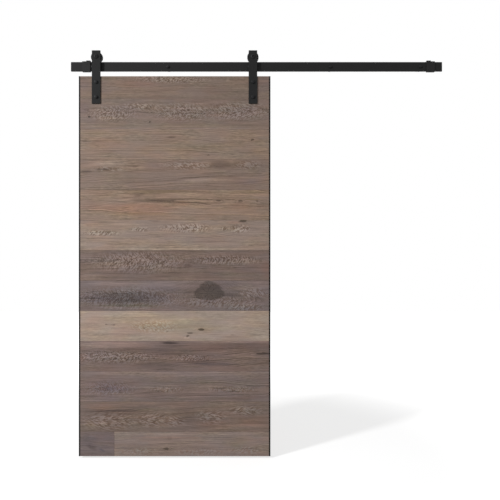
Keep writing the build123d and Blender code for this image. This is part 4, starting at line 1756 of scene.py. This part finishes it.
class Bench:
    """Hand modelling with Blender's operators on one active piece.

    Corners closer than the merge distance in metres become one, and edges sharper than the angle in degrees
    stay sharp.
    """

    merge: ClassVar[float] = 0.000004
    sharp: ClassVar[float] = 32.0

    @staticmethod
    def clear() -> None:
        """Leaves edit mode and deselects everything."""
        if bpy.context.object and bpy.context.object.mode != "OBJECT":
            bpy.ops.object.mode_set(mode="OBJECT")
        bpy.ops.object.select_all(action="DESELECT")

    @staticmethod
    def take(piece: bpy.types.Object) -> None:
        """Makes a piece the only selected and active one.

        Args:
            piece: the piece.
        """
        Bench.clear()
        piece.select_set(True)
        bpy.context.view_layer.objects.active = piece

    @staticmethod
    def added(name: str) -> bpy.types.Object:
        """Names the primitive that was just added.

        Args:
            name: its name.

        Returns:
            The new piece.
        """
        piece = bpy.context.object
        piece.name = name
        piece.data.name = name
        return piece

    @staticmethod
    def pick(piece: bpy.types.Object, wanted: Callable[[bmesh.types.BMFace], bool]) -> None:
        """Selects some faces in edit mode, and nothing else.

        Args:
            piece: the piece that is being edited.
            wanted: says of a face whether it is selected.
        """
        bpy.ops.mesh.select_mode(type="FACE")
        bpy.ops.mesh.select_all(action="DESELECT")
        shape = bmesh.from_edit_mesh(piece.data)
        shape.faces.ensure_lookup_table()
        for face in filter(wanted, shape.faces):
            face.select_set(True)
        shape.select_flush_mode()
        bmesh.update_edit_mesh(piece.data)

    @staticmethod
    def settle(piece: bpy.types.Object) -> None:
        """Applies a piece's place, turn and size to its mesh."""
        Bench.take(piece)
        bpy.ops.object.transform_apply(location=True, rotation=True, scale=True)

    @staticmethod
    def apply(piece: bpy.types.Object, modifier: bpy.types.Modifier) -> None:
        """Applies one modifier to a piece."""
        Bench.take(piece)
        bpy.ops.object.modifier_apply(modifier=modifier.name)

    @staticmethod
    def unite(piece: bpy.types.Object, other: bpy.types.Object) -> None:
        """Joins another closed shape to a piece, so that the two are one closed skin.

        Args:
            piece: the piece that is kept.
            other: the shape that goes into it.
        """
        modifier = piece.modifiers.new("Unite", "BOOLEAN")
        modifier.operation = "UNION"
        modifier.solver = "EXACT"
        modifier.object = other
        Bench.apply(piece, modifier)
        bpy.data.objects.remove(other)

    @staticmethod
    def finish(piece: bpy.types.Object) -> None:
        """Merges doubles, turns the faces outwards and smooths all but the sharp edges.

        Args:
            piece: the piece.
        """
        Bench.take(piece)
        bpy.ops.object.mode_set(mode="EDIT")
        bpy.ops.mesh.select_all(action="SELECT")
        bpy.ops.mesh.remove_doubles(threshold=Bench.merge)
        bpy.ops.mesh.normals_make_consistent(inside=False)
        bpy.ops.object.mode_set(mode="OBJECT")
        bpy.ops.object.shade_smooth_by_angle(angle=math.radians(Bench.sharp))

    @staticmethod
    def copy(piece: bpy.types.Object, name: str) -> bpy.types.Object:
        """Copies a piece with a mesh of its own.

        Args:
            piece: the piece to copy.
            name: the copy's name.

        Returns:
            The copy.
        """
        twin = piece.copy()
        twin.data = piece.data.copy()
        twin.name = name
        twin.data.name = name
        bpy.context.scene.collection.objects.link(twin)
        return twin


def dress(node: str, material: bpy.types.Material) -> None:
    """Gives a CAD node its finish.

    Args:
        node: the node's name.
        material: the finish.
    """
    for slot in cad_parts[node].material_slots:
        slot.material = material
    log.info("%s: %s", node, material.name)


@dataclass(frozen=True)
class HexScrew:
    """A hexagon-headed screw with a rolled thread, modelled once and laid along +Y in each of its places.

    Lengths are metres. The head has its width across the flats and its height, and the shank its radius and
    how long it stays plain. The thread has the radii of its core and of its crests, its length and its
    pitch, and the tip has its length and the radius it ends in. The chamfer is in degrees. The round face,
    the overlap, the run-out, the root and the ridge are shares of half the flats, the head's height, the
    step in radius, the thread's depth and the pitch.
    """

    title: str
    flats: float
    head: float
    shank: float
    plain: float
    core: float
    thread: float
    threaded: float
    pitch: float
    tip: float
    point: float
    sides: ClassVar[int] = 48
    thread_steps: ClassVar[int] = 24
    round_face: ClassVar[float] = 0.95
    chamfer: ClassVar[float] = 30.0
    overlap: ClassVar[float] = 0.4
    run_out: ClassVar[float] = 1.2
    root: ClassVar[float] = 0.12
    ridge: ClassVar[float] = 0.86

    def model_head(self) -> bpy.types.Object:
        """Turns a chamfered blank and cuts its six flats.

        Returns:
            The head, standing on z = 0.
        """
        corner = self.flats / math.sqrt(3)
        flat = self.flats / 2
        inset = corner - self.round_face * flat
        drop = inset * math.tan(math.radians(self.chamfer))
        Bench.clear()
        blank = self.head - drop
        bpy.ops.mesh.primitive_cylinder_add(
            vertices=self.sides, radius=corner, depth=blank, location=(0, 0, blank / 2)
        )
        head = Bench.added(self.title)
        Bench.settle(head)
        bpy.ops.object.mode_set(mode="EDIT")
        Bench.pick(head, lambda face: face.normal.z > 0.9)
        bpy.ops.mesh.inset(thickness=inset)
        bpy.ops.transform.translate(value=(0, 0, drop))
        for cut in range(6):
            turn = math.radians(60 * cut)
            outward = (math.cos(turn), math.sin(turn), 0.0)
            bpy.ops.mesh.select_all(action="SELECT")
            bpy.ops.mesh.bisect(
                plane_co=(outward[0] * flat, outward[1] * flat, 0.0),
                plane_no=outward,
                use_fill=True,
                clear_outer=True,
            )
        bpy.ops.object.mode_set(mode="OBJECT")
        return head

    def model_shank(self) -> bpy.types.Object:
        """Draws the plain shank, the thread's core and the point out of one round bar.

        Returns:
            The shank, hanging below z = 0 and reaching a little way into the head.
        """
        into = self.head * self.overlap
        Bench.clear()
        bpy.ops.mesh.primitive_cylinder_add(
            vertices=self.sides,
            radius=self.shank,
            depth=self.plain + into,
            location=(0, 0, (into - self.plain) / 2),
        )
        bar = Bench.added(self.title + "_shank")
        Bench.settle(bar)
        bpy.ops.object.mode_set(mode="EDIT")
        Bench.pick(bar, lambda face: face.normal.z < -0.9)
        run = (self.shank - self.core) * self.run_out
        self.draw(run, self.core / self.shank, -self.plain - run)
        self.draw(self.threaded - run, 1.0, -self.plain - self.threaded)
        self.draw(self.tip, self.point / self.core, -self.plain - self.threaded - self.tip)
        bpy.ops.object.mode_set(mode="OBJECT")
        return bar

    def draw(self, length: float, share: float, height: float) -> None:
        """Draws the selected end face further down and narrows it.

        Args:
            length: how far it is drawn.
            share: its new width as a share of the old.
            height: where its centre is afterwards.
        """
        bpy.ops.mesh.extrude_region_move(TRANSFORM_OT_translate={"value": (0, 0, -length)})
        bpy.ops.transform.resize(value=(share, share, 1), center_override=(0, 0, height))

    def model_thread(self) -> bpy.types.Object:
        """Winds the thread's ridge about the core.

        Returns:
            The ridge, with both ends closed.
        """
        depth = self.thread - self.core
        # A triangle about a radius of 1 is 1.5 tall and the square root of 3 wide.
        tall = (depth + depth * self.root) / 1.5
        wide = self.pitch * self.ridge / math.sqrt(3)
        turns = max(1, int((self.threaded - self.pitch * 1.1) / self.pitch))
        Bench.clear()
        bpy.ops.mesh.primitive_circle_add(vertices=3, radius=1.0, fill_type="NOTHING")
        ridge = Bench.added(self.title + "_thread")
        ridge.scale = (wide, tall, 1.0)
        ridge.rotation_euler = (math.pi / 2, math.pi / 2, 0)
        ridge.location = (self.thread - tall, 0, -self.plain - self.pitch * 0.7)
        Bench.settle(ridge)
        winding = ridge.modifiers.new("Winding", "SCREW")
        winding.axis = "Z"
        winding.angle = math.tau
        winding.screw_offset = -self.pitch
        winding.iterations = turns
        winding.steps = self.thread_steps
        winding.render_steps = self.thread_steps
        winding.use_merge_vertices = False
        Bench.apply(ridge, winding)
        bpy.ops.object.mode_set(mode="EDIT")
        bpy.ops.mesh.select_mode(type="EDGE")
        bpy.ops.mesh.select_all(action="DESELECT")
        bpy.ops.mesh.select_non_manifold()
        bpy.ops.mesh.fill_holes(sides=4)
        bpy.ops.mesh.select_all(action="SELECT")
        bpy.ops.mesh.normals_make_consistent(inside=False)
        bpy.ops.object.mode_set(mode="OBJECT")
        return ridge

    def model(self) -> bpy.types.Object:
        """Builds the whole screw, head up about Z with the head's underside at zero.

        Returns:
            The screw.
        """
        screw = self.model_head()
        Bench.unite(screw, self.model_shank())
        Bench.unite(screw, self.model_thread())
        Bench.finish(screw)
        return screw

    def lay(
        self,
        places: dict[str, Point],
        body: str,
        node: str,
        slot: str,
        material: bpy.types.Material,
    ) -> None:
        """Copies the screw to its places, its head at the front.

        Args:
            places: the middle of each head's underside by the copy's name.
            body: the body that the screws ride on.
            node: the CAD node that they stand for.
            slot: the record's slot of their finish; not used.
            material: their finish.
        """
        pattern = self.model()
        for name, place in places.items():
            screw = Bench.copy(pattern, name)
            screw.rotation_euler = (math.pi / 2, 0, 0)
            screw.location = place
            Bench.settle(screw)
            screw.data.materials.clear()
            screw.data.materials.append(material)
            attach(screw, body)
            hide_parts(node)
            log.info("%s: %d faces, %s", name, len(screw.data.polygons), material.name)
        bpy.data.objects.remove(pattern)


# Sub-assemblies


HANGER_X = {Side.LEFT: -0.8200, Side.RIGHT: 0.0207}
FASTENER_SLOT = "black_fastener"


@dataclass
class Track:
    """The rail with its spacers, lag screws and washers.

    In metres it has the fixings along the rail, how far the rail's front is from the wall, and how thick a
    washer is.
    """

    fixings: tuple[float, ...] = (-0.842, -0.437, 0.0, 0.438, 0.922)
    rail_front: float = 0.03835
    washer: float = 0.0016
    path: RolledPath = RolledPath(first=-856.0, last=948.0, middle=-35.2, half=2.4)
    tone: Paint = Paint(26, 26, 26)
    screw: HexScrew = HexScrew(
        title="lag_screw",
        flats=0.013,
        head=0.0053,
        shank=0.0038,
        plain=0.03995,
        core=0.0029,
        thread=0.0040,
        threaded=0.050,
        pitch=0.0034,
        tip=0.008,
        point=0.0005,
    )

    def build(self, effects: Effects) -> None:
        """Models the lag screws and dresses the track.

        Args:
            effects: the shared node groups.
        """
        dress("rail", SprayedCoat("rail_coat", self.tone, specular=0.14, path=self.path).make(effects))
        coat = SprayedCoat("spacer_coat", self.tone, specular=0.14, wear=0.15).make(effects)
        for number in range(1, len(self.fixings) + 1):
            dress(f"wall_spacer_{number}", coat)
        black = SprayedCoat(
            "black_oxide_screws", BLACK_OXIDE, roughness=0.50, grain=2.0, specular=0.16, wear=0.15
        ).make(effects)
        dress("wall_screw_washers", black)
        front = -(self.rail_front + self.washer)
        places = {f"lag_screw_{n}": (x, front, 0.0) for n, x in enumerate(self.fixings, 1)}
        self.screw.lay(places, body="track", node="wall_screws", slot=FASTENER_SLOT, material=black)


@dataclass
class EndStops:
    """The two hooked stops with their bumpers and set screws."""

    tone: Paint = Paint(27, 27, 27)

    def build(self, effects: Effects) -> None:
        """Dresses the stops.

        Args:
            effects: the shared node groups.
        """
        coat = SprayedCoat("stop_coat", self.tone, specular=0.16, wear=0.15).make(effects)
        rubber = Moulded("bumper_rubber", Paint(30, 29, 29), roughness=0.75, specular=0.2).make(effects)
        for side in Side:
            dress(f"stop_body_{side.value}", coat)
            dress(f"stop_bumper_{side.value}", rubber)
        black = SprayedCoat(
            "set_screw_black", BLACK_OXIDE, roughness=0.38, grain=2.0, specular=0.25, wear=0.3
        ).make(effects)
        dress("stop_screws", black)


@dataclass
class Leaf:
    """The door leaf: boards on a plywood core between two edge strips.

    In metres it has the leaf's left side and top, the fronts of the boards and of the core, and the heights
    of the first row and of the others.
    """

    left: float = -0.9140
    top: float = -0.0544
    front: float = -0.0510
    core_front: float = -0.0360
    first_row: float = 0.1227
    row: float = 0.1624

    def row_top(self, number: int) -> float:
        """Gives the height of a row's upper edge.

        Args:
            number: the row, from 1 at the top.

        Returns:
            Its height in metres.
        """
        return self.top if number == 1 else self.top - self.first_row - (number - 2) * self.row

    def build(self, effects: Effects) -> None:
        """Dresses the boards, the core, the strips and their screws.

        Args:
            effects: the shared node groups.
        """
        for number, look in enumerate(BOARD_LOOKS, 1):
            # The last look is the short board at the left end of the lowest row.
            row = min(number, len(BOARD_LOOKS) - 1)
            node = f"plank_{row:02d}" + ("_short" if number > row else "")
            placed = replace(look, corner=(self.left, self.front, self.row_top(row)))
            dress(node, placed.make(effects))
        core = Plywood("birch_plywood", corner=(self.left, self.core_front, self.top)).make(effects)
        dress("core_panel", core)
        strip = SprayedCoat(
            "strip_paint", Paint(17, 15, 15), roughness=0.6, grain=0.8, specular=0.10, wear=0.0
        ).make(effects)
        for side in Side:
            dress(f"edge_strip_{side.value}", strip)
        black = SprayedCoat(
            "strip_screw_black", Paint(27, 27, 28), roughness=0.4, grain=2.0, specular=0.25, wear=0.3
        ).make(effects)
        dress("edge_strip_screws", black)


@dataclass
class Hangers:
    """The two strap hangers with their bolts, nuts and axles, and where the bolts' heads lie, in metres."""

    heights: dict[str, float] = field(default_factory=lambda: {"upper": -0.0864, "lower": -0.1664})
    strap_front: float = 0.0570
    tone: Paint = Paint(27, 27, 27)
    bolt: HexScrew = HexScrew(
        title="hanger_bolt",
        flats=0.017,
        head=0.0064,
        shank=0.0050,
        plain=0.0310,
        core=0.0042,
        thread=0.00498,
        threaded=0.0145,
        pitch=0.0015,
        tip=0.0010,
        point=0.0034,
    )

    def build(self, effects: Effects) -> None:
        """Models the hanger bolts and dresses the hangers.

        Args:
            effects: the shared node groups.
        """
        coat = SprayedCoat("strap_coat", self.tone, specular=0.13, wear=0.12).make(effects)
        black = SprayedCoat(
            "black_oxide_bolts", BLACK_OXIDE, roughness=0.50, grain=2.0, specular=0.14, wear=0.10
        ).make(effects)
        zinc = PlatedSteel(
            "zinc_plate", Paint(196, 197, 194), clouds=Paint(182, 186, 190), roughness=0.34
        ).make(effects)
        for side in Side:
            dress(f"hanger_strap_{side.value}", coat)
            dress(f"axle_bolt_{side.value}", black)
            for piece in ("axle_spacer", "axle_shim", "axle_nut"):
                dress(f"{piece}_{side.value}", zinc)
        dress("hanger_bolt_washers", zinc)
        dress("hanger_bolt_nuts", zinc)
        places = {
            f"hanger_bolt_{side.value}_{level}": (x, -self.strap_front, z)
            for side, x in HANGER_X.items()
            for level, z in self.heights.items()
        }
        self.bolt.lay(places, body="door", node="hanger_bolts", slot=FASTENER_SLOT, material=black)


@dataclass
class Wheels:
    """The two grooved wheels and their bearings: their axles' place and running radius, in metres."""

    depth: float = -0.035175
    height: float = 0.0504
    tread: float = 0.0247

    def build(self, effects: Effects) -> None:
        """Dresses the wheels and bearings.

        Args:
            effects: the shared node groups.
        """
        ground = PlatedSteel(
            "ground_steel", Paint(206, 206, 205), clouds=Paint(196, 197, 199), roughness=0.20
        ).make(effects)
        cage = PlatedSteel(
            "cage_steel", Paint(186, 180, 164), clouds=Paint(176, 172, 160), roughness=0.36
        ).make(effects)
        spring = PlatedSteel(
            "spring_steel", Paint(92, 92, 95), clouds=Paint(80, 80, 84), roughness=0.40
        ).make(effects)
        seal = Moulded("seal_rubber", Paint(52, 42, 38), roughness=0.7, specular=0.25).make(effects)
        for side, x in HANGER_X.items():
            nylon = Moulded(
                f"wheel_nylon_{side.value}",
                Paint(30, 30, 31),
                roughness=0.52,
                specular=0.25,
                tread=Tread(centre=(x, self.depth, self.height), radius=self.tread),
            ).make(effects)
            dress(f"wheel_{side.value}", nylon)
            for ring in ("bearing_inner", "bearing_outer", "bearing_balls"):
                dress(f"{ring}_{side.value}", ground)
            dress(f"bearing_cage_{side.value}", cage)
            dress(f"bearing_clip_{side.value}", spring)
            dress(f"bearing_seals_{side.value}", seal)


@dataclass(frozen=True)
class FloorFinish(Finish):
    """A plain pale floor that keeps the object's shadow, fades to white farther off and is clear from below.

    Its middle and the distances from there at which it starts and ends to fade are in mm.
    """

    albedo: float = 0.50
    lift: float = 0.66
    middle: tuple[float, float] = (-400.0, 0.0)
    near: float = 1300.0
    far: float = 2600.0

    def write(self, graph: Graph, shader: bpy.types.Node, effects: Effects) -> None:
        """Writes the nodes; see Finish.write."""
        output = next(node for node in graph.tree.nodes if node.type == "OUTPUT_MATERIAL")
        spot = graph.place()
        fine = graph.noise(spot, (400, 400, 400), 2.0)
        shade = graph.total(self.albedo, graph.swing(fine, 0.01))
        graph.feed(shader.inputs["Base Color"], graph.join(shade, shade, shade))
        shader.inputs["Roughness"].default_value = 1.0
        shader.inputs["Specular IOR Level"].default_value = 0.0
        seen = graph.rays("Is Camera Ray", "Is Glossy Ray")
        x, y, _ = graph.split(spot)
        away = graph.join(graph.less(x, self.middle[0]), graph.less(y, self.middle[1]), 0.0)
        distant = graph.step(graph.vector("LENGTH", away), self.near, self.far)
        glow = graph.node("ShaderNodeEmission")
        strength = graph.total(self.lift, graph.times(distant, 1.0 - self.lift))
        graph.feed(glow.inputs["Strength"], graph.times(seen, strength))
        both = graph.node("ShaderNodeAddShader")
        graph.feed(both.inputs[0], shader.outputs["BSDF"])
        graph.feed(both.inputs[1], glow.outputs["Emission"])
        clear = graph.node("ShaderNodeBsdfTransparent")
        surface = graph.node("ShaderNodeNewGeometry")
        choice = graph.node("ShaderNodeMixShader")
        graph.feed(choice.inputs[0], surface.outputs["Backfacing"])
        graph.feed(choice.inputs[1], both.outputs[0])
        graph.feed(choice.inputs[2], clear.outputs[0])
        graph.feed(output.inputs["Surface"], choice.outputs[0])


@dataclass
class Studio:
    """Camera, lamp, white surroundings and a pale floor, in metres, with the lens and sensor in mm."""

    eye: Point = (0.0050, -3.4510, -0.9874)
    lens: float = 45.608
    sensor: float = 36.0
    key_place: Point = (-6.40, -5.60, 2.60)
    key_aim: Point = (-0.30, -0.05, -1.30)
    key_size: float = 1.1
    key_power: float = 690.0
    sky: float = 0.37
    floor_height: float = -2.1054
    floor_size: float = 16.0

    def set_camera(self) -> None:
        """Puts the camera at the photograph's viewing place, level and looking along +Y."""
        data = bpy.data.cameras.new("camera")
        data.lens = self.lens
        data.sensor_width = self.sensor
        data.clip_start = 0.05
        data.clip_end = 100.0
        camera = bpy.data.objects.new("camera", data)
        camera.location = self.eye
        camera.rotation_euler = (math.pi / 2, 0.0, 0.0)
        bpy.context.scene.collection.objects.link(camera)
        bpy.context.scene.camera = camera

    def hang_lamp(self) -> None:
        """Hangs a soft lamp at the upper left front."""
        data = bpy.data.lights.new("key_lamp", "AREA")
        data.shape = "DISK"
        data.size = self.key_size
        data.energy = self.key_power
        lamp = bpy.data.objects.new("key_lamp", data)
        lamp.location = self.key_place
        aim = Vector(self.key_aim) - Vector(self.key_place)
        lamp.rotation_euler = aim.to_track_quat("-Z", "Y").to_euler()
        bpy.context.scene.collection.objects.link(lamp)

    def paint_sky(self) -> None:
        """Makes the surroundings white to the camera and in reflections, and an even soft light elsewhere."""
        world = bpy.data.worlds.new("surroundings")
        world.use_nodes = True
        bpy.context.scene.world = world
        world.node_tree.nodes.clear()
        graph = Graph(world.node_tree)
        seen = graph.rays("Is Camera Ray", "Is Glossy Ray", "Is Transmission Ray")
        back = graph.node("ShaderNodeBackground")
        graph.feed(back.inputs["Color"], (1.0, 1.0, 1.0, 1.0))
        strength = graph.total(self.sky, graph.times(seen, 1.0 - self.sky))
        graph.feed(back.inputs["Strength"], strength)
        output = graph.node("ShaderNodeOutputWorld")
        graph.feed(output.inputs["Surface"], back.outputs["Background"])

    def lay_floor(self, effects: Effects) -> None:
        """Lays the floor just below the leaf.

        Args:
            effects: the shared node groups.
        """
        Bench.clear()
        bpy.ops.mesh.primitive_plane_add(size=self.floor_size, location=(0.0, 0.0, self.floor_height))
        floor = Bench.added("floor")
        Bench.settle(floor)
        floor.data.materials.append(FloorFinish("floor").make(effects))

    def build(self, effects: Effects) -> None:
        """Sets the camera, the light and the floor.

        Args:
            effects: the shared node groups.
        """
        bpy.context.scene.view_settings.view_transform = "Standard"
        self.set_camera()
        self.hang_lamp()
        self.paint_sky()
        self.lay_floor(effects)


def main() -> None:
    """Builds the studio and the object's sub-assemblies in order."""
    logging.basicConfig(level=logging.INFO, format="%(message)s")
    effects = Effects()
    for part in (Studio(), Track(), EndStops(), Leaf(), Hangers(), Wheels()):
        log.info("building %s", type(part).__name__)
        part.build(effects)
    Bench.clear()


if __name__ == "__main__":
    main()
